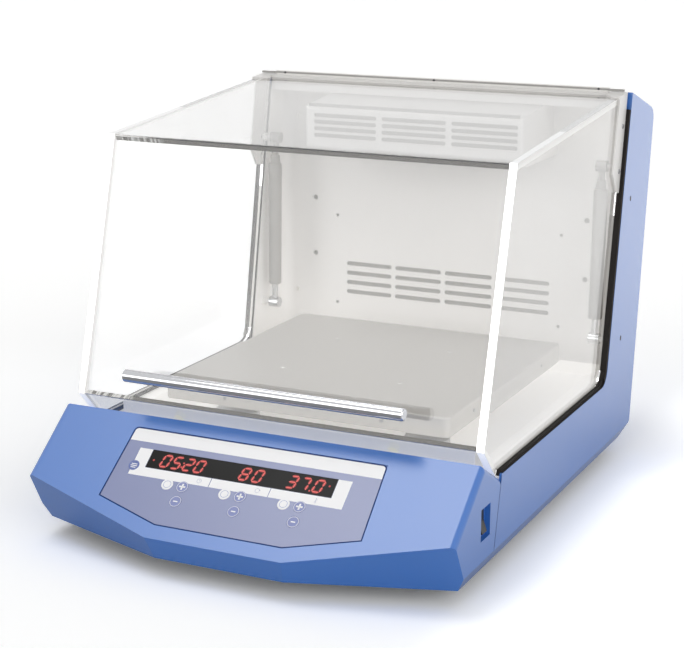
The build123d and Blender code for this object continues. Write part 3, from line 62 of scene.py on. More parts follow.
# %% Camera
def camera_axes(yaw, pitch, roll):
    """Right, up and backward unit vectors of a camera turned by yaw about Z, tilted by pitch and rolled."""
    yaw, pitch, roll = np.radians([yaw, pitch, roll])
    ahead = np.array([-np.sin(yaw) * np.cos(pitch), np.cos(yaw) * np.cos(pitch), np.sin(pitch)])
    right = np.array([np.cos(yaw), np.sin(yaw), 0.0])
    up = np.cross(right, ahead)
    turned_right = right * np.cos(roll) + up * np.sin(roll)
    turned_up = -right * np.sin(roll) + up * np.cos(roll)
    return turned_right, turned_up, -ahead


lens_data = bpy.data.cameras.new("studio_camera")
lens_data.sensor_width = 36.0
lens_data.lens = 90.52
lens_data.shift_x = 0.00055
lens_data.shift_y = -0.00125
lens_data.clip_start = 0.05
lens_data.clip_end = 100.0
camera = bpy.data.objects.new("studio_camera", lens_data)
bpy.context.scene.collection.objects.link(camera)
axes = np.eye(4)
axes[:3, :3] = np.array(camera_axes(25.4413, -14.2614, 0.1345)).T
axes[:3, 3] = (0.76253, -1.66453, 0.64892)
camera.matrix_world = Matrix(axes.tolist())
bpy.context.scene.camera = camera
bpy.context.scene.view_settings.view_transform = "Standard"
print("camera at", [round(v, 3) for v in camera.location], "lens", lens_data.lens, "mm")

# %% [markdown]
# ## One helper for nodes, one for colours
#
# A shader is a small graph. Every node below is added by the same helper: it takes the kind of node, the values
# that go on its sockets and the sockets that feed it. A few short functions call it for what comes up often: the
# kind of a ray, a coordinate, a straight ramp and a mix of two colours. Colours are written as they look on a
# screen, in hex, and one function turns them into the linear numbers that the renderer needs.

# %% Node and colour helpers
def linear(code):
    """sRGB hex to opaque linear RGBA: v/12.92 below 0.04045, else ((v+0.055)/1.055)^2.4."""
    value = np.array([int(code[i : i + 2], 16) for i in (1, 3, 5)]) / 255.0
    curve = np.where(value <= 0.04045, value / 12.92, ((value + 0.055) / 1.055) ** 2.4)
    return (*curve.tolist(), 1.0)


def add_node(tree, kind, values=None, links=None, **settings):
    """Adds one node: settings are its own, values go on its sockets, links are {socket: source socket}."""
    made = tree.nodes.new("ShaderNode" + kind)
    for key, value in settings.items():
        setattr(made, key, value)
    for socket, value in (values or {}).items():
        made.inputs[socket].default_value = value
    for socket, source in (links or {}).items():
        tree.links.new(source, made.inputs[socket])
    return made


def empty_material(name):
    """A material with an empty graph."""
    material = bpy.data.materials.new(name)
    material.use_nodes = True
    material.node_tree.nodes.clear()
    return material, material.node_tree


def closed(material, shader):
    """The material, with a shader wired to its output."""
    add_node(material.node_tree, "OutputMaterial", links={"Surface": shader.outputs[0]})
    return material


def any_ray(tree, *kinds):
    """1 for a ray of any of these kinds, else 0: the maximum of their flags."""
    flags = add_node(tree, "LightPath").outputs
    found = flags[f"Is {kinds[0]} Ray"]
    for kind in kinds[1:]:
        found = add_node(tree, "Math", operation="MAXIMUM", links={0: found, 1: flags[f"Is {kind} Ray"]}).outputs[0]
    return found


def along(tree, axis):
    """The object coordinate along one axis, in metres."""
    return add_node(tree, "SeparateXYZ", links={0: add_node(tree, "TexCoord").outputs["Object"]}).outputs[axis]


def ramp(tree, value, start=0.0, stop=1.0, low=0.0, high=1.0):
    """Rises in a straight line from low at start to high at stop, and stays level beyond them."""
    ends = {"From Min": start, "From Max": stop, "To Min": low, "To Max": high}
    return add_node(tree, "MapRange", ends, {"Value": value}).outputs[0]


def blend(tree, share, first, second):
    """Mixes two colours, each a tuple or a socket: the first at share 0 and the second at share 1."""
    fixed = {k: c for k, c in ((6, first), (7, second)) if isinstance(c, tuple)}
    fed = {k: c for k, c in ((0, share), (6, first), (7, second)) if k not in fixed}
    return add_node(tree, "Mix", fixed, fed, data_type="RGBA").outputs[2]


print("helpers ready: mid grey is", [round(v, 3) for v in linear("#808080")])

# %% [markdown]
# ## The studio
#
# The photograph shows the shaker on a white sweep with a soft shadow under it. The light is a plain dome with four
# broad suns: one nearly overhead, which lays a pale sheen on the sloping deck, two from the right, which light the
# side cover, and one low in front, which the front pane mirrors to the camera as a pale veil.
# Suns are used and not area lamps, because they light the floor evenly out to the horizon.
# The dome shows white to the camera, mirrors and clear sheets, though it lights with less. The camera and clear
# sheets see the floor a little whiter than real paper, and at the right it has a lift, which mirrors see too, so
# that the shadow stays thin there. Matt surfaces get no light from either, but glossy ones do mirror the white.
# Mirrors see the sweep darker in front of the shaker, as if it ended there at a black table edge: that keeps the
# front facets a deep blue, while the side cover still mirrors the pale rear.

# %% World
world = bpy.data.worlds.new("white_studio")
bpy.context.scene.world = world
world.use_nodes = True
sky = world.node_tree
sky.nodes.clear()
DOME = 0.43
level = ramp(sky, any_ray(sky, "Camera", "Glossy", "Transmission"), low=DOME)
dome = add_node(sky, "Background", values={"Color": linear("#FFFFFF")}, links={"Strength": level})
add_node(sky, "OutputWorld", links={"Surface": dome.outputs[0]})
print("dome lights at", DOME, "and shows at 1")

# %% Lamps
def sun(name, level, width, towards):
    """A sun whose light on a facing surface is level, width degrees across, coming from the direction towards."""
    data = bpy.data.lights.new(name, "SUN")
    data.energy = level * math.pi
    data.angle = math.radians(width)
    lamp = bpy.data.objects.new(name, data)
    bpy.context.scene.collection.objects.link(lamp)
    lamp.rotation_euler = Vector(towards).to_track_quat("Z", "Y").to_euler()
    return lamp


lamps = [
    sun("overhead_softbox", 0.18, 24.0, (-0.30, -0.12, 0.945)),
    sun("rear_right_softbox", 0.10, 40.0, (0.33, 0.92, 0.22)),
    sun("right_fill", 0.46, 60.0, (0.84, -0.50, 0.22)),
    sun("front_left_softbox", 0.16, 30.0, (-0.416, -0.88, 0.232)),
]
print("lamps:", [lamp.name for lamp in lamps])

# %% Floor
floor_paint, tree = empty_material("white_paper_sweep")
SHOWN_WHITE = (1.30, 1.30, 1.29, 1.0)
LIFT_START, LIFT_STOP = 0.215, 0.36
LIFT_LOW, LIFT_HIGH = 0.02, 0.5
SWEEP_FRONT, SWEEP_REAR = -0.3, 1.3
side = ramp(tree, along(tree, "X"), LIFT_START, LIFT_STOP, LIFT_LOW, LIFT_HIGH)
shown = any_ray(tree, "Camera", "Transmission", "Glossy")
lift = add_node(tree, "Math", operation="MULTIPLY", links={0: shown, 1: side})
far = ramp(tree, along(tree, "Y"), SWEEP_FRONT, SWEEP_REAR)
mirrored = blend(tree, far, linear("#B4B4B4"), linear("#FFFFFF"))
unseen = blend(tree, any_ray(tree, "Glossy"), linear("#EAEAEA"), mirrored)
shade = blend(tree, any_ray(tree, "Camera", "Transmission"), unseen, SHOWN_WHITE)
paper = add_node(tree, "BsdfDiffuse", links={"Color": shade})
glow = add_node(tree, "Emission", values={"Color": linear("#FFFFFF")}, links={"Strength": lift.outputs[0]})
both = add_node(tree, "AddShader", links={0: paper.outputs[0], 1: glow.outputs[0]})
closed(floor_paint, both)

sweep = bpy.data.meshes.new("floor")
REACH = 40.0
corners = [(x * REACH, y * REACH, 0.0) for x, y in ((-1, -1), (1, -1), (1, 1), (-1, 1))]
sweep.from_pydata(corners, [], [(0, 1, 2, 3)])
floor = bpy.data.objects.new("floor", sweep)
bpy.context.scene.collection.objects.link(floor)
sweep.materials.append(floor_paint)
print("floor is", 2 * REACH, "m across")

# %% [markdown]
# ## Finishes
#
# Most surfaces here are paint, moulded plastic, rubber or worked metal. Each of these differs from a flat colour in
# the same three ways: a fine relief, patches that are slightly more or less glossy, and a slight drift of shade.
# One function builds that graph, and each finish gives it real sizes in millimetres. The relief's depth is a little
# more than the real one where the real one would not show.

# %% Function for a solid finish
def solid_finish(
    name, colour, roughness, metallic=0.0, specular=0.5, coat=0.0, grain_mm=1.0, depth_mm=0.01,
    stretch=(1.0, 1.0, 1.0), gloss_drift=0.05, shade_drift=0.03, patch_mm=45.0, pattern="TexNoise", glow=0.0,
):
    """Paint, plastic, rubber or metal: colour and gloss drift over patches, a fine grain lifts the normal."""
    material, tree = empty_material(name)
    place = add_node(tree, "TexCoord")
    laid = add_node(tree, "Mapping", values={"Scale": stretch}, links={"Vector": place.outputs["Object"]})
    spread = {"Scale": 1000.0 / patch_mm, "Detail": 3.0, "Roughness": 0.55}
    patches = add_node(tree, "TexNoise", spread, {"Vector": laid.outputs[0]})
    base = np.array(linear(colour))
    darker = base * np.array([1 - shade_drift] * 3 + [1.0])
    lighter = np.minimum(base * np.array([1 + shade_drift] * 3 + [1.0]), 1.0)
    shade = blend(tree, patches.outputs[0], tuple(darker), tuple(lighter))
    low, high = max(roughness - gloss_drift, 0.02), min(roughness + gloss_drift, 1.0)
    gloss = ramp(tree, patches.outputs[0], low=low, high=high)
    grain = add_node(tree, pattern, {"Scale": 1000.0 / grain_mm}, {"Vector": laid.outputs[0]})
    relief = add_node(tree, "Bump", {"Strength": 1.0, "Distance": depth_mm * MM}, {"Height": grain.outputs[0]})
    shader = add_node(
        tree,
        "BsdfPrincipled",
        values={
            "Metallic": metallic,
            "Specular IOR Level": specular,
            "Coat Weight": coat,
            "Coat Roughness": 0.25,
            "Emission Color": linear(colour),
            "Emission Strength": glow,
        },
        links={"Base Color": shade, "Roughness": gloss, "Normal": relief.outputs[0]},
    )
    return closed(material, shader)


def powder_coat(name, colour, roughness=0.45, glow=0.0):
    """White powder coat: a grain of about a millimetre, and a shade that hardly drifts."""
    return solid_finish(name, colour, roughness, grain_mm=1.2, depth_mm=0.012, shade_drift=0.012, glow=glow)


finishes = {}
print("finish functions ready")

# %% [markdown]
# ## Blue shells
#
# The side covers and the rear are folded steel with a baked satin paint, which has a faint orange peel a few
# millimetres across. The control nose is moulded structural foam with the same paint over a finer grain. Both are
# a plain mid blue: the lavender of the upper faces in the photograph is the white studio in the satin, so it is
# left to the light.

# %% Paint and mouldings
finishes["blue_shell"] = solid_finish(
    "satin_paint_on_steel", "#3670C0", 0.34, coat=1.0, grain_mm=2.2, depth_mm=0.012, shade_drift=0.02,
    gloss_drift=0.03,
)
finishes["nose_shell"] = solid_finish(
    "satin_paint_on_moulding", "#3670C0", 0.32, coat=1.0, grain_mm=1.4, depth_mm=0.010, shade_drift=0.02,
    gloss_drift=0.03,
)
finishes["chamber_white"] = powder_coat("white_powder_coat", "#E8E6E3")
finishes["frame_white"] = solid_finish(
    "white_baked_enamel", "#E4E2DF", 0.30, grain_mm=1.6, depth_mm=0.008, shade_drift=0.01, gloss_drift=0.04
)
print("painted finishes:", len(finishes))

# %% [markdown]
# ## Metals
#
# The tray is an aluminium plate with a fine matt anodised skin, the handle is steel tube with bright chrome, and
# the hidden parts are zinc plate, turned steel, cast aluminium and folded sheet. A drawn or turned surface has
# its grain in one direction, so its noise is stretched along that axis.

# %% Metals
# Painted light: the tray's finish glows a little (0.06), which brightens it.
finishes["tray_metal"] = solid_finish(
    "matt_anodised_aluminium_painted_glow", "#B8B5B0", 0.48, metallic=0.2, glow=0.06, grain_mm=0.5, depth_mm=0.006,
    stretch=(0.25, 1, 1), shade_drift=0.02,
)
finishes["bright_chrome"] = solid_finish(
    "bright_chrome_plate", "#C6C7CA", 0.06, metallic=1.0, grain_mm=4.0, depth_mm=0.0002, gloss_drift=0.01,
    shade_drift=0.01,
)
finishes["spring_grey"] = solid_finish(
    "grey_lacquered_tube", "#96938E", 0.35, grain_mm=0.8, depth_mm=0.004, shade_drift=0.02
)
finishes["rod_steel"] = solid_finish(
    "ground_steel_rod", "#C6C6C6", 0.18, metallic=1.0, grain_mm=0.3, depth_mm=0.001, stretch=(1, 1, 0.1)
)
finishes["machined_steel"] = solid_finish(
    "turned_steel", "#A9A9AA", 0.30, metallic=1.0, grain_mm=0.4, depth_mm=0.004, stretch=(1, 1, 3)
)
finishes["base_steel"] = solid_finish(
    "zinc_plated_base_sheet", "#8C9096", 0.42, metallic=0.9, grain_mm=14.0, depth_mm=0.01, shade_drift=0.12,
    patch_mm=22.0, pattern="TexVoronoi",
)
finishes["cast_housing"] = solid_finish(
    "die_cast_aluminium", "#8A8C8E", 0.5, metallic=0.8, grain_mm=1.2, depth_mm=0.05, shade_drift=0.05
)
finishes["motor_body"] = solid_finish(
    "drawn_motor_can", "#A3A6A8", 0.32, metallic=1.0, grain_mm=0.5, depth_mm=0.004, stretch=(1, 1, 0.2)
)
finishes["socket_steel"] = solid_finish(
    "nickel_plated_shell", "#B5B5B5", 0.25, metallic=1.0, grain_mm=0.6, depth_mm=0.003
)
finishes["supply_case"] = solid_finish(
    "perforated_supply_sheet", "#B1B3B5", 0.4, metallic=0.9, grain_mm=6.0, depth_mm=0.03, pattern="TexVoronoi",
    shade_drift=0.05,
)
finishes["heater_steel"] = solid_finish(
    "heat_tinted_steel", "#7C726A", 0.42, metallic=1.0, grain_mm=0.8, depth_mm=0.004, shade_drift=0.2,
    patch_mm=18.0,
)
finishes["screw_steel"] = solid_finish(
    "zinc_plated_screw", "#97989A", 0.3, metallic=0.9, grain_mm=0.5, depth_mm=0.004, shade_drift=0.05
)


def two_tone_screws(name, inner, outer, limit_mm):
    """Plated screws whose colour depends on the distance from the middle: |x| above the limit is the outer one."""
    material, tree = empty_material(name)
    place = add_node(tree, "TexCoord")
    across = add_node(tree, "Math", operation="ABSOLUTE", links={0: along(tree, "X")})
    far = add_node(tree, "Math", operation="GREATER_THAN", values={1: limit_mm * MM}, links={0: across.outputs[0]})
    shade = blend(tree, far.outputs[0], linear(inner), linear(outer))
    grain = add_node(tree, "TexNoise", {"Scale": 2000.0}, {"Vector": place.outputs["Object"]})
    relief = add_node(tree, "Bump", {"Strength": 1.0, "Distance": 0.004 * MM}, {"Height": grain.outputs[0]})
    shader = add_node(
        tree,
        "BsdfPrincipled",
        values={"Metallic": 0.4, "Roughness": 0.35},
        links={"Base Color": shade, "Normal": relief.outputs[0]},
    )
    return closed(material, shader)


housing_screw = two_tone_screws("passivated_and_blackened_screws", "#E4E2DC", "#22263A", 222.0)
print("with metals:", len(finishes))

# %% [markdown]
# ## Rubbers, plastics and the circuit board
#
# Rubber is black and dull, with a bloom that drifts over it. Moulded plastics have a spark-eroded grain under a
# millimetre across. The board is glass fibre under green solder mask.

# %% Rubbers and plastics
finishes["foot_rubber"] = solid_finish("nitrile_rubber_foot", "#1C1C1C", 0.8, grain_mm=1.0, depth_mm=0.05)
finishes["seal_rubber"] = solid_finish(
    "extruded_seal_rubber", "#24211F", 0.75, specular=0.2, grain_mm=0.8, depth_mm=0.02, stretch=(1, 0.2, 0.2),
    shade_drift=0.08,
)
finishes["buffer_rubber"] = solid_finish("soft_buffer_polyurethane", "#B9BE7A", 0.5, grain_mm=0.8, depth_mm=0.01)
finishes["belt_rubber"] = solid_finish(
    "ribbed_belt_rubber", "#1B1B1B", 0.7, grain_mm=2.0, depth_mm=0.10, stretch=(0.1, 0.1, 3)
)
finishes["label_foil"] = solid_finish(
    "printed_polyester_foil", "#66719F", 0.34, coat=1.0, grain_mm=0.5, depth_mm=0.006, shade_drift=0.015,
    gloss_drift=0.03,
)
finishes["window_black"] = solid_finish(
    "smoked_filter_window", "#11100F", 0.22, specular=0.1, grain_mm=3.0, depth_mm=0.001, shade_drift=0.1
)
finishes["key_plastic"] = solid_finish("embossed_key_foil", "#7E87B8", 0.36, grain_mm=0.4, depth_mm=0.006)
finishes["switch_black"] = solid_finish(
    "black_switch_nylon", "#0E0E0F", 0.3, specular=0.35, grain_mm=0.5, depth_mm=0.01
)
finishes["socket_black"] = solid_finish("black_socket_nylon", "#18181A", 0.42, grain_mm=0.5, depth_mm=0.012)
finishes["board_green"] = solid_finish(
    "solder_masked_board", "#1F5A33", 0.35, grain_mm=2.5, depth_mm=0.02, shade_drift=0.12, patch_mm=6.0
)
finishes["rotor_plastic"] = solid_finish("glass_filled_nylon", "#3A3A3C", 0.5, grain_mm=0.7, depth_mm=0.012)
print("with rubbers and plastics:", len(finishes))

# %% [markdown]
# ## Clear acrylic
#
# The hood is cast acrylic sheet, 8 mm thick, with polished edges, cemented into a box. A real refracting shader
# is the only way to get its bright edges and the doubled lines at the joints. Shadow and diffuse rays pass it as
# thin clear film, because a renderer can't find the light behind two bent surfaces and would leave the chamber
# dark. The sheet is never quite flat, so a very long, very faint wave is put into its normal.

# %% Acrylic
def clear_sheet(name, colour, roughness, wave_mm, depth_mm):
    """Refracting sheet: transmission 1, faint long wave, and shadow and diffuse rays that pass straight through."""
    material, tree = empty_material(name)
    place = add_node(tree, "TexCoord")
    point = place.outputs["Object"]
    wave = add_node(tree, "TexNoise", {"Scale": 1000.0 / wave_mm, "Detail": 1.0}, {"Vector": point})
    normal = add_node(tree, "Bump", {"Strength": 1.0, "Distance": depth_mm * MM}, {"Height": wave.outputs[0]})
    sheet = add_node(
        tree,
        "BsdfPrincipled",
        values={"Base Color": linear(colour), "Roughness": roughness, "IOR": 1.49, "Transmission Weight": 1.0},
        links={"Normal": normal.outputs[0]},
    )
    passing = add_node(tree, "BsdfTransparent", values={"Color": linear("#FDFDFD")})
    through = any_ray(tree, "Diffuse", "Shadow")
    mixed = add_node(tree, "MixShader", links={0: through, 1: sheet.outputs[0], 2: passing.outputs[0]})
    return closed(material, mixed)


finishes["clear_acrylic"] = clear_sheet("cast_acrylic_sheet", "#FBFBFB", 0.0, 180.0, 0.02)
light_paths = bpy.context.scene.cycles
light_paths.max_bounces = 20
light_paths.diffuse_bounces = 8
light_paths.transmission_bounces = 16
light_paths.transparent_max_bounces = 24
print("clear sheet ready")

# %% Put the finishes on the frame
material_slots = {m["slot"] for m in frame["record"]["materials"]}
missing = sorted(material_slots - set(finishes))
for node in nodes.values():
    for holder in node.material_slots:
        wanted = holder.material.name.split(".")[0]
        if wanted in finishes:
            holder.material = finishes[wanted]
        else:
            print("no finish for", node.name, wanted)
nodes["housing_screws"].material_slots[0].material = housing_screw
# Painted shade: the heater cover gets a darker copy of the chamber's white powder coat, which dims its lit top.
nodes["heater_cover"].material_slots[0].material = powder_coat("white_powder_coat_cover", "#DFDDDA", 0.5)
# Painted light: the chamber floor and the right side wall get a paler copy of the powder coat that glows (0.26 and
# 0.20).
for name, glow in (("chamber_floor", 0.26), ("chamber_side_right", 0.20)):
    nodes[name].material_slots[0].material = powder_coat(f"white_powder_coat_{name}", "#F5F3F0", glow=glow)
print("finished", len(nodes), "nodes; slots without a finish:", missing)

# %% [markdown]
# ## Places on the sloping deck
#
# The control label lies on a deck that slopes at 38.1 degrees towards the user. A place on it is given as three
# numbers: across, along (down the slope from the rear edge) and out (away from the surface), in millimetres. All of
# the print, the digits and the key marks are drawn in these numbers, so one function carries them into the room.

# %% Deck coordinates and flat shapes
DECK_SLOPE = math.radians(38.1)
DECK_EDGE = (-240.0, 127.1)


def on_deck(across, along, out):
    """y = edge - along cos a - out sin a, z = edge - along sin a + out cos a, and x is across; all in metres."""
    across, along, out = np.broadcast_arrays(across, along, out)
    y = DECK_EDGE[0] - along * math.cos(DECK_SLOPE) - out * math.sin(DECK_SLOPE)
    z = DECK_EDGE[1] - along * math.sin(DECK_SLOPE) + out * math.cos(DECK_SLOPE)
    return np.stack([across, y, z], axis=-1) * MM


def place_mesh(name, points, faces, material, body, thickness_mm=0.0):
    """Puts points and faces into a mesh object at the origin, finished, riding on a body."""
    mesh = bpy.data.meshes.new(name)
    mesh.from_pydata(np.asarray(points).reshape(-1, 3).tolist(), [], [tuple(f) for f in faces])
    mesh.materials.append(material)
    mesh.update()
    piece = bpy.data.objects.new(name, mesh)
    bpy.context.scene.collection.objects.link(piece)
    if thickness_mm:
        wall = piece.modifiers.new("film", "SOLIDIFY")
        wall.thickness = thickness_mm * MM
        wall.offset = -1.0
    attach(piece, body)
    return piece


def grid_faces(rows, columns, closed=False):
    """Quads of a grid of points numbered row by row; closed also joins the last column to the first."""
    i = np.arange(rows - 1)[:, None] * columns
    j = np.arange(columns if closed else columns - 1)[None, :]
    ahead = (j + 1) % columns
    return np.stack([i + j, i + ahead, i + columns + ahead, i + columns + j], axis=-1).reshape(-1, 4)


def print_shapes(name, outlines, out, material, body="housing"):
    """Flat shapes on the deck, one face per outline; each outline is an (n, 2) array of across and along."""
    sizes = np.array([len(o) for o in outlines])
    starts = np.concatenate([[0], np.cumsum(sizes)[:-1]])
    flat = np.concatenate(outlines)
    area = [np.sum(o[:, 0] * np.roll(o[:, 1], -1) - np.roll(o[:, 0], -1) * o[:, 1]) for o in outlines]
    faces = [(np.arange(n) if a < 0 else np.arange(n)[::-1]) + s for n, s, a in zip(sizes, starts, area)]
    return place_mesh(name, on_deck(flat[:, 0], flat[:, 1], out), faces, material, body, 0.02)


def rectangle(x0, x1, a0, a1):
    """Four corners of an upright rectangle on the deck."""
    return np.array([(x0, a0), (x1, a0), (x1, a1), (x0, a1)], float)


def disc(x, a, radius, count):
    """Corners of a circle: centre plus radius times (cos t, sin t)."""
    t = np.linspace(0, 2 * np.pi, count, endpoint=False)
    return np.stack([x + radius * np.cos(t), a + radius * np.sin(t)], axis=-1)


def arc_band(x, a, radius, width, start=0.0, end=360.0):
    """48 four-cornered pieces of a ring between two angles: radius plus or minus half the width."""
    t = np.radians(np.linspace(start, end, 49))
    inner, outer = (
        np.stack([x + r * np.cos(t), a + r * np.sin(t)], axis=-1) for r in (radius - width / 2, radius + width / 2)
    )
    return list(np.stack([inner[:-1], outer[:-1], outer[1:], inner[1:]], axis=1))


def rounded(outline, corners, radius):
    """Replaces the chosen corners of an outline by arcs of 8 points that touch both neighbouring edges."""
    made = []
    for i, corner in enumerate(outline):
        if i not in corners:
            made.append(corner[None])
            continue
        back, ahead = outline[i - 1] - corner, outline[(i + 1) % len(outline)] - corner
        back, ahead = back / np.linalg.norm(back), ahead / np.linalg.norm(ahead)
        half_angle = math.acos(back @ ahead) / 2
        middle = corner + (back + ahead) / np.linalg.norm(back + ahead) * radius / math.sin(half_angle)
        first = corner + back * radius / math.tan(half_angle) - middle
        last = corner + ahead * radius / math.tan(half_angle) - middle
        t = np.linspace(0.0, 1.0, 8)[:, None]
        arc = first * (1 - t) + last * t
        made.append(middle + arc * radius / np.linalg.norm(arc, axis=1, keepdims=True))
    return np.concatenate(made)


print("deck edge is at", on_deck(0, 0, 0).round(4).tolist())

# %% [markdown]
# ## The print on the control label
#
# The label is a polyester foil with a white band at its top, left bare here, and a white field round the display.
# On the real foil these are screen print, a few hundredths of a millimetre thick, so they are thin films laid
# just above the foil. The field is cut where the display window and the two fine dividing lines are.

# %% Bands and fields
ink_white = solid_finish(
    "white_screen_print", "#F3F3F4", 0.36, grain_mm=0.5, depth_mm=0.004, shade_drift=0.01, gloss_drift=0.03
)
ink_grey = solid_finish("pale_grey_screen_print", "#B4B9CC", 0.4, grain_mm=0.5, depth_mm=0.004, shade_drift=0.02)
FOIL_TOP = -0.2
PRINT_LIFT = 0.03

band = np.array([(-138.1, 16.4), (138.1, 16.4), (138.7, 31.0), (-138.7, 31.0)], float)
band = rounded(band, (0, 1), 3.6)
print_shapes("label_white_band", [band], FOIL_TOP + PRINT_LIFT, ink_white)

FIELD_TOP, WINDOW_LOW, FIELD_LOW = 38.7, 60.2, 70.4
field = [rectangle(x0, x1, FIELD_TOP, FIELD_LOW) for x0, x1 in ((-123.3, -108.4), (96.9, 111.5))]
field += [rectangle(x0, x1, WINDOW_LOW, FIELD_LOW) for x0, x1 in ((-108.4, -32.4), (-31.6, 32.6), (33.4, 96.9))]
print_shapes("label_white_field", field, FOIL_TOP + PRINT_LIFT, ink_white)

ICON_STROKE = 0.4
clock = arc_band(-44.1, 65.4, 2.3, ICON_STROKE)
clock += [rectangle(-44.25, -43.95, 63.8, 65.5), rectangle(-44.2, -42.9, 65.3, 65.6)]
turning = arc_band(20.1, 65.3, 2.3, ICON_STROKE, 20.0, 330.0)
turning += [np.array([(21.6, 63.9), (23.3, 64.2), (22.2, 65.7)])]
thermometer = arc_band(82.6, 67.2, 0.9, ICON_STROKE) + [rectangle(82.3, 82.9, 62.8, 66.4)]
scale = [rectangle(83.4, 84.2, a, a + 0.25) for a in (63.2, 64.2, 65.2)]
print_shapes("label_icons", clock + turning + thermometer + scale, FOIL_TOP + 2 * PRINT_LIFT, ink_grey)
print("label print laid")

# %% [markdown]
# ## Lit digits
#
# The display shows plain seven-segment numbers: minutes and seconds, turns a minute, and degrees. Each segment is
# a six-cornered bar that leans to the right, drawn in three layers: a wide dark one at the bottom, because a lit
# segment bleeds a little red into the smoked window around it, then its red body, and a thin bright core on top.
# The bars are computed together, from one table of which segments each figure lights.

# %% Digits
def glowing(name, colour, strength):
    """A lit diode behind a red filter: a red body that gives out light, brighter in its middle grains."""
    material, tree = empty_material(name)
    place = add_node(tree, "TexCoord")
    grain = add_node(tree, "TexNoise", {"Scale": 2500.0}, {"Vector": place.outputs["Object"]})
    power = ramp(tree, grain.outputs[0], low=strength * 0.85, high=strength * 1.15)
    shader = add_node(
        tree,
        "BsdfPrincipled",
        values={"Base Color": linear("#3A0605"), "Roughness": 0.4, "Emission Color": linear(colour)},
        links={"Emission Strength": power},
    )
    return closed(material, shader)


lit_core = glowing("lit_segment_core", "#FF8278", 0.95)
lit_body = glowing("lit_segment_body", "#C81E1C", 0.85)
lit_edge = glowing("lit_segment_bleed", "#8A1210", 0.8)

# Both ends of each segment: top, upper right, lower right, bottom, lower left, upper left and middle.
SEGMENT_ENDS = np.array(
    [(0, 0, 1, 0), (1, 0, 1, 1), (1, 1, 1, 2), (0, 2, 1, 2), (0, 1, 0, 2), (0, 0, 0, 1), (0, 1, 1, 1)], float
).reshape(7, 2, 2)
LIT = {"0": "1111110", "2": "1101101", "3": "1111001", "5": "1011011", "7": "1110000", "8": "1111111"}
DIGIT_LEAN = 0.18
END_GAP = 0.35


def segment_bars(figures, left, width, top, height, stroke):
    """Six-cornered bars of all lit segments: ends inset from the corners, sides half a stroke either way."""
    lit = np.array([[c == "1" for c in LIT[f]] for f in figures])
    starts = np.array(left)[:, None, None, None]
    ends = SEGMENT_ENDS[None] * np.array([width, height / 2])
    ends = np.broadcast_to(ends, (len(figures), 7, 2, 2)).copy()
    ends[..., 0:1] += starts
    ends = ends[lit]
    run = ends[:, 1] - ends[:, 0]
    length = np.linalg.norm(run, axis=1, keepdims=True)
    run = run / length
    side = np.stack([-run[:, 1], run[:, 0]], axis=-1) * stroke / 2
    a = ends[:, 0] + run * END_GAP
    b = ends[:, 1] - run * END_GAP
    inset = run * stroke / 2
    bars = np.stack([a, a + inset + side, b - inset + side, b, b - inset - side, a + inset - side], axis=1)
    bars[..., 0] += DIGIT_LEAN * (height - bars[..., 1])
    bars[..., 1] += top
    return list(bars)


GROUPS = [("0520", [-93.8, -81.2, -68.0, -55.6]), ("80", [-5.0, 9.4]), ("370", [46.5, 59.5, 74.5])]
DIGIT = {"width": 8.0, "top": 42.9, "height": 13.4}
DOTS = [(-68.6, 48.6), (-69.6, 53.4), (72.2, 56.0), (-102.5, 50.5), (90.5, 47.6)]
LAYERS = [
    ("bleed", lit_edge, 3.2, 1.2, 16, DOTS),
    ("bodies", lit_body, 1.8, 0.8, 16, DOTS),
    ("cores", lit_core, 0.5, 0.35, 12, DOTS[:3]),
]
for layer, (part, lit, stroke, radius, corners, dots) in enumerate(LAYERS, start=1):
    bars = [b for text, left in GROUPS for b in segment_bars(text, left, stroke=stroke, **DIGIT)]
    bars += [disc(x, a, radius, corners) for x, a in dots]
    print_shapes(f"digit_{part}", bars, FOIL_TOP + layer * PRINT_LIFT, lit)
print("lit bars and dots with a core:", len(bars))

# %% [markdown]
# ## Marks on the keys
#
# The keys are pads of the same foil, domed a little by the switch below. Each is ringed in white; the raising and
# lowering keys carry a plus and a minus, and the select keys are white discs with a fine grey ring. The marks
# ride on their keys, so they go down with them when a key is pressed.

# %% Key marks
UPPER_ROW, LOWER_ROW = 75.0, 92.2
MARK_STEP = 17.0
white_key = solid_finish("white_key_foil", "#F1F1F3", 0.36, grain_mm=0.4, depth_mm=0.006, shade_drift=0.01)
ring_blue = solid_finish("blue_grey_screen_print", "#8E97C0", 0.38, grain_mm=0.4, depth_mm=0.004)
deep_key = solid_finish("deep_blue_key_foil", "#5A6BA6", 0.36, grain_mm=0.4, depth_mm=0.006)


def bar(x, a, long, wide):
    """Upright rectangle about a centre."""
    return rectangle(x - long / 2, x + long / 2, a - wide / 2, a + wide / 2)


for group, ring_x in (("time", -75.8), ("speed", -11.8), ("heat", 52.2)):
    x = ring_x + MARK_STEP
    nodes[f"key_{group}_ring"].material_slots[0].material = white_key
    ring = arc_band(ring_x, UPPER_ROW, 3.9, 0.45)
    plus = [bar(x, UPPER_ROW, 6.8, 1.8), bar(x, UPPER_ROW, 1.8, 6.8)] + arc_band(x, UPPER_ROW, 5.6, 0.42)
    minus = [bar(x, LOWER_ROW, 4.8, 1.3)] + arc_band(x, LOWER_ROW, 5.6, 0.42)
    for part, mark, ink in (("ring", ring, ring_blue), ("plus", plus, ink_white), ("minus", minus, ink_white)):
        key = f"key_{group}_{part}"
        print_shapes(f"{key}_mark", mark, PRINT_LIFT, ink, key)

nodes["key_round"].material_slots[0].material = deep_key
lines = [bar(-121.2, a, long, 0.9) for a, long in ((58.2, 6.4), (60.2, 7.4), (62.2, 5.4))]
print_shapes("key_round_mark", lines, PRINT_LIFT, ink_white, "key_round")
print("keys marked")

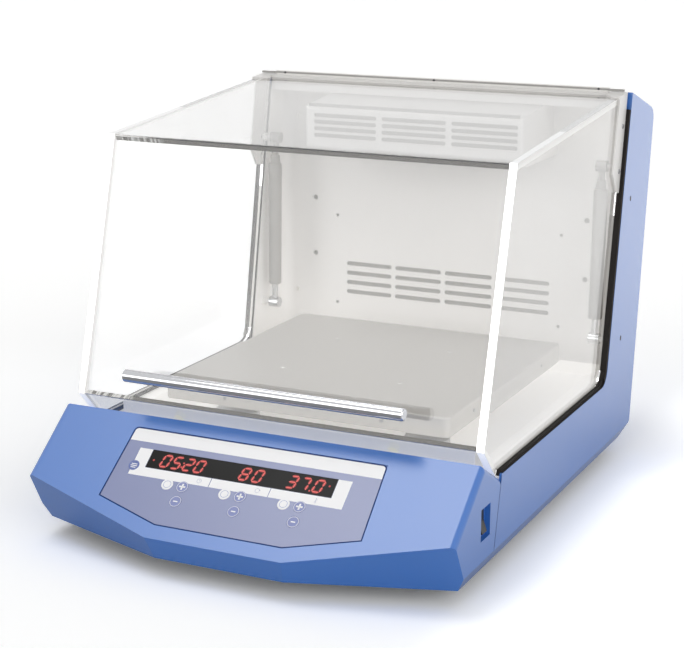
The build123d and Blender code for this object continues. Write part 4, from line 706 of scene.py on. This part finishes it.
# %% [markdown]
# ## Screw heads
#
# Pan-head screws hold the side arms of the hood frame, the hinge cap and the tray's skirt. A head is a profile
# turned about its axis: flat rim, rounded shoulder, and a hexagonal socket. The socket's wall is the same turned
# profile with its radius cut by the six flats, so all heads of one size are one array of points.

# %% Turned heads
def screw_heads(name, centres, axis, radius, height, body, material):
    """Heads at centres (mm): radius and height along a profile, turned about axis, hexagonal in the socket."""
    turns = 36
    profile_r = np.array([1.0, 1.0, 0.93, 0.75, 0.50, 0.46, 0.46, 0.0])
    profile_h = np.array([0.0, 0.45, 0.80, 1.0, 1.0, 0.95, 0.35, 0.30])
    t = np.linspace(0, 2 * np.pi, turns, endpoint=False)
    hexagon = np.cos(np.pi / 6) / np.cos((t % (np.pi / 3)) - np.pi / 6)
    shape = np.where((profile_r < 0.55)[:, None], hexagon[None, :], 1.0)
    r = profile_r[:, None] * shape * radius
    z = np.array(axis, float) / np.linalg.norm(axis)
    x = np.cross(z, (0.0, 1.0, 0.0) if abs(z[1]) < 0.9 else (1.0, 0.0, 0.0))
    x /= np.linalg.norm(x)
    y = np.cross(z, x)
    ring = r[..., None] * (np.cos(t)[None, :, None] * x + np.sin(t)[None, :, None] * y)
    ring = ring + (profile_h * height)[:, None, None] * z
    points = (np.array(centres, float)[:, None, None, :] + ring[None]) * MM
    rows, count = len(profile_r), len(centres)
    quad = grid_faces(rows, turns, closed=True)
    faces = (quad[None] + (np.arange(count) * rows * turns)[:, None, None]).reshape(-1, 4)
    piece = place_mesh(name, points, faces, material, body)
    weld(piece.data)
    return piece


def weld(mesh):
    """Merges the points that meet at a pole and turns all faces outwards."""
    work = bmesh.new()
    work.from_mesh(mesh)
    bmesh.ops.remove_doubles(work, verts=work.verts, dist=1e-7)
    bmesh.ops.dissolve_degenerate(work, edges=work.edges, dist=1e-7)
    bmesh.ops.recalc_face_normals(work, faces=work.faces)
    work.to_mesh(mesh)
    work.free()


plated = finishes["screw_steel"]
SIDES = (("left", -1), ("right", 1))
ARM_FACE = 228.3
for side, sign in SIDES:
    places = [(sign * ARM_FACE, 180.5, 392.3), (sign * ARM_FACE, 172.8, 343.0)]
    screw_heads(f"arm_screws_{side}", places, (sign, 0, 0), 2.8, 1.0, "hood", plated)
print("screw heads made")

# %% [markdown]
# ## Polished edges and cemented joints of the hood
#
# On the real hood the sawn edges of the side sheets are diamond-polished. Seen end-on, such an edge pipes the white
# room through the sheet and looks like a bright mirror, so each outer edge carries a thin film with a bright
# silvery finish. Where the front meets the top and the lower strip, the sheets are mitred and cemented. The cement
# reads as a grey-brown line inside the clear sheet, so a slab a tenth of a millimetre thick lies in each mitre.

# %% Hood outline
hood_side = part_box("hood_side_right")
HOOD_HALF = hood_side[1].x / MM
SHEET = (hood_side[1].x - hood_side[0].x) / MM
TIP = np.array([-194.0, 102.0])
FRONT_LOW = np.array([-226.0, 135.0])
FRONT_TOP = np.array([-154.5, 398.0])
TOP_REAR = np.array([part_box("hood_top")[1].y / MM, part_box("hood_top")[1].z / MM])
print("hood half width", round(HOOD_HALF, 2), "sheet", round(SHEET, 2), "top rear", TOP_REAR.round(2))


# %% Edge films
def outward(a, b):
    """Unit normal of the run a to b in the (y, z) plane, on its left."""
    run = (b - a) / np.linalg.norm(b - a)
    return np.array([-run[1], run[0]])


def edge_film(name, a, b, x0, x1, material, lift=0.04):
    """A strip over one straight edge: from a to b in (y, z), from x0 to x1, lifted off the sheet."""
    steps = 24
    t = np.linspace(0.0, 1.0, steps)[:, None]
    line = a + (b - a) * t + outward(a, b) * lift
    rows = np.stack([np.column_stack([np.full(steps, x), line]) for x in (x0, x1)], axis=1)
    return place_mesh(name, rows * MM, grid_faces(steps, 2), material, "hood", 0.02)


edge_finish = solid_finish(
    "polished_acrylic_edge", "#F1F1F1", 0.14, metallic=0.9, grain_mm=9.0, depth_mm=0.05, gloss_drift=0.1,
    shade_drift=0.02, patch_mm=20.0,
)


def graded_edge(name, low, high, z0, z1):
    """Polished edge with a painted reflection, darker near its lower end where it mirrors something darker: its
    shade rises from z0 to z1.
    """
    material, tree = empty_material(name)
    place = add_node(tree, "TexCoord")
    grain = add_node(tree, "TexNoise", {"Scale": 60.0}, {"Vector": place.outputs["Object"]})
    shade = blend(tree, ramp(tree, along(tree, "Z"), z0 * MM, z1 * MM), linear(low), linear(high))
    gloss = ramp(tree, grain.outputs[0], low=0.1, high=0.3)
    shader = add_node(tree, "BsdfPrincipled", {"Metallic": 0.9}, {"Base Color": shade, "Roughness": gloss})
    return closed(material, shader)


# Painted reflection on the left front edge: grey low down, white higher up.
left_edge_finish = graded_edge("polished_edge_painted_reflection", "#A8A7A4", "#FDFDFD", 140.0, 215.0)
# Painted light: the low edges glow (0.45), standing in for light piped through the sheet.
low_edge_finish = solid_finish(
    "white_sawn_acrylic_edge_painted_glow", "#F4F4F4", 0.5, specular=0.1, grain_mm=9.0, depth_mm=0.02, shade_drift=0.02,
    glow=0.45,
)
# Painted light: the left rear edge gets a paler copy of the milled-edge finish than the right one.
left_rear_finish = solid_finish(
    "milled_acrylic_edge_over_seal", "#E0DED9", 0.6, specular=0.1, grain_mm=3.0, depth_mm=0.02, shade_drift=0.04
)
rear_edge_finish = solid_finish(
    "milled_acrylic_edge", "#C2C0BC", 0.5, grain_mm=3.0, depth_mm=0.02, shade_drift=0.04, patch_mm=15.0
)
HEEL = np.array([TIP[0] + 4.5, 107.3])
REAR_LOW = np.array([138.5, 107.3])
for side, sign in SIDES:
    x0, x1 = sorted((sign * (HOOD_HALF - SHEET + 0.1), sign * (HOOD_HALF - 0.1)))
    front_finish = edge_finish if side == "right" else left_edge_finish
    edge_film(f"hood_edge_front_{side}", FRONT_LOW, FRONT_TOP, x0, x1, front_finish)
    edge_film(f"hood_edge_low_{side}", TIP, FRONT_LOW, x0, x1, low_edge_finish)
    edge_film(f"hood_edge_top_{side}", FRONT_TOP, TOP_REAR + [-34.0, -2.8], x0, x1, edge_finish)
    rear_top = TOP_REAR + (REAR_LOW - TOP_REAR) * 0.03
    rear_finish = rear_edge_finish if side == "right" else left_rear_finish
    edge_film(f"hood_edge_rear_{side}", rear_top, REAR_LOW + [0.0, 0.6], x0, x1, rear_finish, -0.3)
    edge_film(f"hood_edge_bottom_{side}", REAR_LOW - [0.6, 0.0], HEEL, x0, x1, rear_edge_finish, -0.3)
# Painted reflection: a dark film inside the right sheet's rear edge, in the seal's rubber finish, stands in for the
# seal seen through the sheet.
seal_image_x = (HOOD_HALF - 2.6, HOOD_HALF - 0.1)
edge_film("hood_seal_mark", rear_top, REAR_LOW + [0.0, 0.6], *seal_image_x, finishes["seal_rubber"], -0.36)
print("edge films laid")


# %% Mitre joints
def joint_slab(name, before, corner, after, material, start, end):
    """A thin slab in a mitre between two sheets, from one share of its depth to another, outer corner first."""
    inner = corner - (outward(before, corner) + outward(corner, after)) * SHEET / (
        1 + outward(before, corner) @ outward(corner, after)
    )
    a = corner + (inner - corner) * start
    b = corner + (inner - corner) * end
    side = outward(a, b) * 0.05
    ring = np.stack([a - side, b - side, b + side, a + side])
    half = HOOD_HALF - SHEET - 0.3
    points = np.stack([np.column_stack([np.full(4, x), ring]) for x in (-half, half)])
    faces = grid_faces(2, 4, closed=True).tolist() + [[3, 2, 1, 0], [4, 5, 6, 7]]
    piece = place_mesh(name, points * MM, faces, material, "hood")
    weld(piece.data)
    return piece


def end_cement(name, x, material):
    """Cement between a side sheet and the ends of the lower strip, the front and the top, as one thin sheet."""
    outer = np.stack([TIP, FRONT_LOW, FRONT_TOP, TOP_REAR - [20.0, 1.6]])
    normals = np.stack([outward(a, b) for a, b in zip(outer, outer[1:])])
    before, after = np.concatenate([normals[:1], normals]), np.concatenate([normals, normals[-1:]])
    mitre = (before + after) / (1 + (before * after).sum(1, keepdims=True))
    rows = np.stack([outer - mitre * 0.2, outer - mitre * (SHEET - 0.1)])
    points = np.concatenate([np.full((2, 4, 1), x), rows], axis=-1)
    return place_mesh(name, points * MM, grid_faces(2, 4), material, "hood", 0.1)


def cement_line(name, filled, airy, air_end):
    """Cement that is full on the right and breaks into pale dashes left of air_end (mm), where air crept in; with
    air_end beyond the hood it draws a painted dotted reflection instead.
    """
    material, tree = empty_material(name)
    place = add_node(tree, "TexCoord")
    full = ramp(tree, along(tree, "X"), (air_end - 6.0) * MM, (air_end + 6.0) * MM)
    laid = add_node(tree, "Mapping", values={"Scale": (1.0, 0.05, 0.05)}, links={"Vector": place.outputs["Object"]})
    dashes = add_node(tree, "TexNoise", {"Scale": 260.0, "Detail": 2.0}, {"Vector": laid.outputs[0]})
    sharp = ramp(tree, dashes.outputs[0], 0.44, 0.54)
    dark = add_node(tree, "Math", operation="MAXIMUM", links={0: full, 1: sharp})
    shade = blend(tree, dark.outputs[0], linear(airy), linear(filled))
    shader = add_node(tree, "BsdfPrincipled", {"Roughness": 0.5}, {"Base Color": shade})
    return closed(material, shader)


top_cement = cement_line("cured_acrylic_cement_top", "#6B6862", "#D2D1CE", -165.0)
low_cement = cement_line("cured_acrylic_cement_low", "#57544E", "#DEDDDA", -162.0)
# Painted reflection: a navy slab at the outer corner of the lower mitre stands in for the blue deck seen in the
# corner.
deck_reflection_paint = solid_finish("painted_deck_reflection_in_corner", "#24457F", 0.5, grain_mm=3.0, depth_mm=0.01)
# Painted light: the cement at the ends of the side sheets glows a little (0.25).
pale_cement = solid_finish(
    "clear_cement_with_air_and_painted_glow", "#E2E1DE", 0.6, grain_mm=3.0, depth_mm=0.03, shade_drift=0.12, patch_mm=7.0, glow=0.25
)
# Painted reflection: a pale dotted line near the outer corner of the top mitre stands in for an internal reflection
# in the sheet; it uses the cement graph, dashed all along.
dotted_edge_reflection = cement_line("painted_dotted_reflection_edge", "#B4B1AB", "#EFEEEC", 400.0)
joint_slab("hood_joint_top", FRONT_LOW, FRONT_TOP, TOP_REAR, top_cement, 0.34, 0.96)
joint_slab("hood_joint_top_edge", FRONT_LOW, FRONT_TOP, TOP_REAR, dotted_edge_reflection, 0.03, 0.10)
joint_slab("hood_joint_low", TIP, FRONT_LOW, FRONT_TOP, low_cement, 0.25, 0.98)
joint_slab("hood_corner_low_reflection", TIP, FRONT_LOW, FRONT_TOP, deck_reflection_paint, 0.02, 0.13)
for side, sign in SIDES:
    end_cement(f"hood_joint_{side}", sign * (HOOD_HALF - SHEET) + 0.05, pale_cement)
print("joints cemented")

# %% [markdown]
# ## Behind the slots and under the tray
#
# Behind the slotted wall of a real incubator lies a mat of pale insulating felt, and it is what the slots show. In
# front of the shaking tray a white guard stands on the chamber floor, so that spills don't run under it; through
# the lower strip of the hood it is the plain pale area above the control label. Both are folded or cut sheet, so
# each is a profile carried across the machine.


# %% Mat and guard
def across_sheet(name, profile, x0, x1, thickness_mm, material, slot, body="housing", steps=2):
    """A (y, z) profile carried from x0 to x1 as a grid, then given a wall."""
    profile = np.asarray(profile, float)
    xs = np.linspace(x0, x1, steps)
    points = np.stack([np.column_stack([np.full(len(profile), x), profile]) for x in xs])
    return place_mesh(name, points * MM, grid_faces(steps, len(profile)), material, body, thickness_mm)


felt = solid_finish(
    "pale_insulating_felt", "#A19E98", 0.9, grain_mm=2.0, depth_mm=0.4, shade_drift=0.06, patch_mm=14.0
)
WALL_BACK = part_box("chamber_back_wall")[1].y / MM
mat = [(WALL_BACK + 3.0, z) for z in (118.0, 300.0)]
across_sheet("insulation_mat", mat, -212.0, 212.0, 1.5, felt, "chamber_white")
# Painted light: the guard gets a paler copy of the powder coat that glows a little (0.14).
guard_white_glowing = powder_coat("white_powder_coat_guard", "#F6F5F3", glow=0.14)


def splash_guard(name, y, top_z):
    """Cut sheet across the pan: its lower edge follows the pan, its upper edge is rolled back by a millimetre."""
    x = np.linspace(-200.0, 200.0, 81)
    low = np.interp(np.abs(x), [175.0, 200.0], [86.8, 100.9])
    rise = np.array([0.0, 0.03, 0.5, 0.96, 0.99, 1.0])
    z = low[None, :] + (top_z - low[None, :]) * rise[:, None]
    back = np.array([0.8, 0.0, 0.0, 0.0, 0.4, 1.2])
    points = np.stack(np.broadcast_arrays(x[None, :], y + back[:, None], z), axis=-1)
    faces = grid_faces(len(rise), len(x))
    return place_mesh(name, points * MM, faces, guard_white_glowing, "housing", 0.8)


splash_guard("splash_guard", -177.5, 122.6)
fleece = solid_finish("white_filter_fleece", "#A5A39F", 0.9, grain_mm=1.5, depth_mm=0.3, shade_drift=0.05)
cover_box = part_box("heater_cover")
fleece_x = (cover_box[0].x / MM + 4.0, cover_box[1].x / MM - 4.0)
fleece_yz = [(cover_box[0].y / MM + 2.6, z) for z in (cover_box[0].z / MM + 5.0, cover_box[1].z / MM - 4.0)]
across_sheet("filter_fleece", fleece_yz, *fleece_x, 0.6, fleece, "chamber_white")
print("mat and guard placed behind y =", round(WALL_BACK, 1))

# %% [markdown]
# ## Seal lips, the gap round the label, and the hinge cap
#
# The black seal wraps over the cut edge of the side cover with a soft lip. The label sits in a moulded recess, and
# the gap round it is deep and narrow, so it reads as a fine navy line: a navy strip of painted shade lies at its
# bottom. The seam behind the control nose and the front edge of each bracket get a strip of painted shade in the
# same way. The ridge of the hinge strip has a matt film on its front face, with three small dark screws, and an end
# piece at either side.

# %% Seal lips
COLUMN_LEAN = math.radians(10.0)


def lip(name, sign):
    """Flat band along the cut edge of the cover: level run, bend of radius 20 and leaning column."""
    radius, foot = 20.0, np.array([143.5, 105.0])
    turn = np.linspace(0.0, math.pi / 2 - COLUMN_LEAN, 14)
    centre = foot + [radius * math.tan(COLUMN_LEAN) - radius / math.cos(COLUMN_LEAN), radius]
    bend = centre + radius * np.column_stack([np.sin(turn), -np.cos(turn)])
    top_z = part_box("edge_seal_right")[1].z / MM - 0.3
    top = foot + [(top_z - foot[1]) * math.tan(COLUMN_LEAN), top_z - foot[1]]
    path = np.concatenate([[[-190.0, foot[1]]], bend, [top]])
    run = np.gradient(path, axis=0)
    run /= np.linalg.norm(run, axis=1, keepdims=True)
    inward = np.column_stack([-run[:, 1], run[:, 0]])
    depth = np.where(path[:, 1:2] < 110.0, 0.45, 5.0)
    x0, x1 = sorted((sign * 229.95, sign * 232.2))
    corners = ((x0, 0.05), (x0, 1.0), (x1, 1.0), (x1, 0.05))
    n = len(path)
    rings = np.stack([np.column_stack([np.full(n, x), path + inward * depth * d]) for x, d in corners], axis=1)
    faces = grid_faces(n, 4, closed=True).tolist()
    faces += [[3, 2, 1, 0], [4 * n - 4, 4 * n - 3, 4 * n - 2, 4 * n - 1]]
    piece = place_mesh(name, rings * MM, faces, finishes["seal_rubber"], "housing")
    weld(piece.data)
    return piece


for side, sign in SIDES[::-1]:
    lip(f"seal_lip_{side}", sign)
print("seal lips laid")

# %% Painted shade in the label gap
gap_shade_paint = solid_finish("navy_gap_shadow", "#1C3A72", 0.7, specular=0.1, grain_mm=0.5, depth_mm=0.004)
outline = [(-138.5, 16.0), (138.5, 16.0), (142.0, 99.0), (69.0, 120.5), (-69.0, 120.5), (-142.0, 99.0)]
outline = rounded(np.array(outline), (0, 1), 4.0)


def grown(points, distance):
    """Moves each edge of a convex outline outwards and crosses neighbouring edges again."""
    ahead = np.roll(points, -1, axis=0) - points
    ahead /= np.linalg.norm(ahead, axis=1, keepdims=True)
    normal = np.column_stack([ahead[:, 1], -ahead[:, 0]])
    before = np.roll(normal, 1, axis=0)
    return points + (normal + before) * distance / (1 + (normal * before).sum(1, keepdims=True))


inner, outer = grown(outline, -0.1), grown(outline, 1.2)
pieces = list(np.stack([inner, np.roll(inner, -1, axis=0), np.roll(outer, -1, axis=0), outer], axis=1))
print_shapes("label_gap_shade", pieces, PRINT_LIFT, gap_shade_paint)
print("gap bead laid,", len(pieces), "runs")

# %% Painted shade in the seams and along the brackets
def side_strip(name, points, sign, x, material, body):
    """A flat strip on a side face: points are the (y, z) corners of its two long edges, in pairs."""
    rows = np.asarray(points, float)
    n = len(rows) // 2
    flat = np.column_stack([np.full(len(rows), sign * x), rows])
    return place_mesh(name, flat * MM, grid_faces(n, 2)[:, ::sign], material, body, 0.01)


SEAM_SLOPE = math.tan(math.radians(13.4))
COVER_FACE = 232.49
seam = [(-193.0 - (105.0 - z) * SEAM_SLOPE + d, z) for z in (104.0, 34.0) for d in (-0.75, 0.35)]
# The bracket's front edge, top to tip: how far it lies in front of the leaning rear line, and its height.
ARM_CORNERS = ((28.5, 424.5), (28.5, 342.6), (11.4, 320.0))
arm = [(TOP_REAR[0] - reach - (TOP_REAR[1] - z) * math.tan(COLUMN_LEAN), z) for reach, z in ARM_CORNERS]
arm_line = [p for y, z in arm for p in ((y - 0.9, z), (y, z))]
bracket_shade_paint = solid_finish("grey_edge_shadow", "#6C6A67", 0.7, specular=0.1, grain_mm=0.5, depth_mm=0.004)
# Painted shade: dark strips over the seam behind the nose and along each bracket's front edge.
for side, sign in SIDES:
    side_strip(f"seam_shade_{side}", seam, sign, COVER_FACE, gap_shade_paint, "housing")
    side_strip(f"bracket_shade_line_{side}", arm_line, sign, HOOD_HALF + 0.02, bracket_shade_paint, "hood")
print("seam and bracket lines laid")

# %% Cap and its screws
cap_finish = solid_finish(
    "matt_lacquered_cap", "#A5A3A0", 0.85, specular=0.05, grain_mm=0.6, depth_mm=0.004, stretch=(0.1, 1, 1),
    shade_drift=0.03,
)
top_run = (TOP_REAR - FRONT_TOP) / np.linalg.norm(TOP_REAR - FRONT_TOP)
top_out = outward(FRONT_TOP, TOP_REAR)
frame_vertices = nodes["hood_frame"].data.vertices
frame_points = np.empty(3 * len(frame_vertices), np.float32)
frame_vertices.foreach_get("co", frame_points)
frame_points = frame_points.astype(float).reshape(-1, 3) / MM
RIDGE_FOOT = 430.5
CAP_HALF = 207.8
CAP_END = (208.1, 226.0)
TAB = (209.4, 225.8)
ridge_y = frame_points[frame_points[:, 2] > RIDGE_FOOT, 1].min() - 0.03
print("hinge ridge front at y =", round(ridge_y, 2))
film = [(ridge_y, z) for z in (429.8, 431.9)]
across_sheet("hinge_cap", film, -CAP_HALF, CAP_HALF, 0.02, cap_finish, "frame_white", "hood")
end_profile = [(ridge_y + 0.02, z) for z in (429.6, 430.0, 431.5, 431.8)]
for side, sign in SIDES:
    x0, x1 = sorted(sign * x for x in CAP_END)
    across_sheet(f"cap_end_{side}", end_profile, x0, x1, 2.9, cap_finish, "frame_white", "hood", steps=6)
dark_screw = solid_finish("blackened_screw", "#2A2B30", 0.35, metallic=0.6, grain_mm=0.4, depth_mm=0.003)
places = [(x, ridge_y, 430.8) for x in (-196.0, -2.0, 196.0)]
screw_heads("cap_screws", places, (0, -1, 0), 1.3, 0.3, "hood", dark_screw)
# Painted shade: a dark strip on each end tab of the hinge strip, in the gap at its rear.
gap_shadow = solid_finish("painted_tab_gap_shade", "#2B2A28", 0.7, grain_mm=0.5, depth_mm=0.004)
tab_rear = [TOP_REAR - top_run * d + top_out * 2.24 for d in (2.4, 0.8)]
for side, sign in SIDES:
    x0, x1 = sorted(sign * x for x in TAB)
    across_sheet(f"tab_gap_{side}", tab_rear, x0, x1, 0.02, gap_shadow, "frame_white", "hood")
tray_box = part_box("tray")
places = [(x, tray_box[0].y / MM, 127.5) for x in (-90.0, 90.0)]
screw_heads("tray_screws_front", places, (0, -1, 0), 2.0, 0.9, "platform", plated)
for side, sign in SIDES[::-1]:
    places = [(tray_box[sign > 0].x / MM, y, 130.0) for y in (-86.6, 103.6)]
    screw_heads(f"tray_screws_{side}", places, (sign, 0, 0), 2.0, 0.9, "platform", plated)
# The tray's plug screws are pale plated heads, and their near-white colour also paints the highlights on them.
plug = solid_finish("pale_plug_screw_painted_highlight", "#F0EFEC", 0.25, metallic=0.3, grain_mm=0.4, depth_mm=0.003)
PLUG_HALF, TRAY_MIDDLE = 69.5, 8.5
places = [
    (x, TRAY_MIDDLE + y, tray_box[1].z / MM - 0.75)
    for x in (-PLUG_HALF, PLUG_HALF)
    for y in (-PLUG_HALF, PLUG_HALF)
]
screw_heads("tray_plugs", places, (0, 0, 1), 2.8, 0.7, "platform", plug)
print("cap and screws placed")
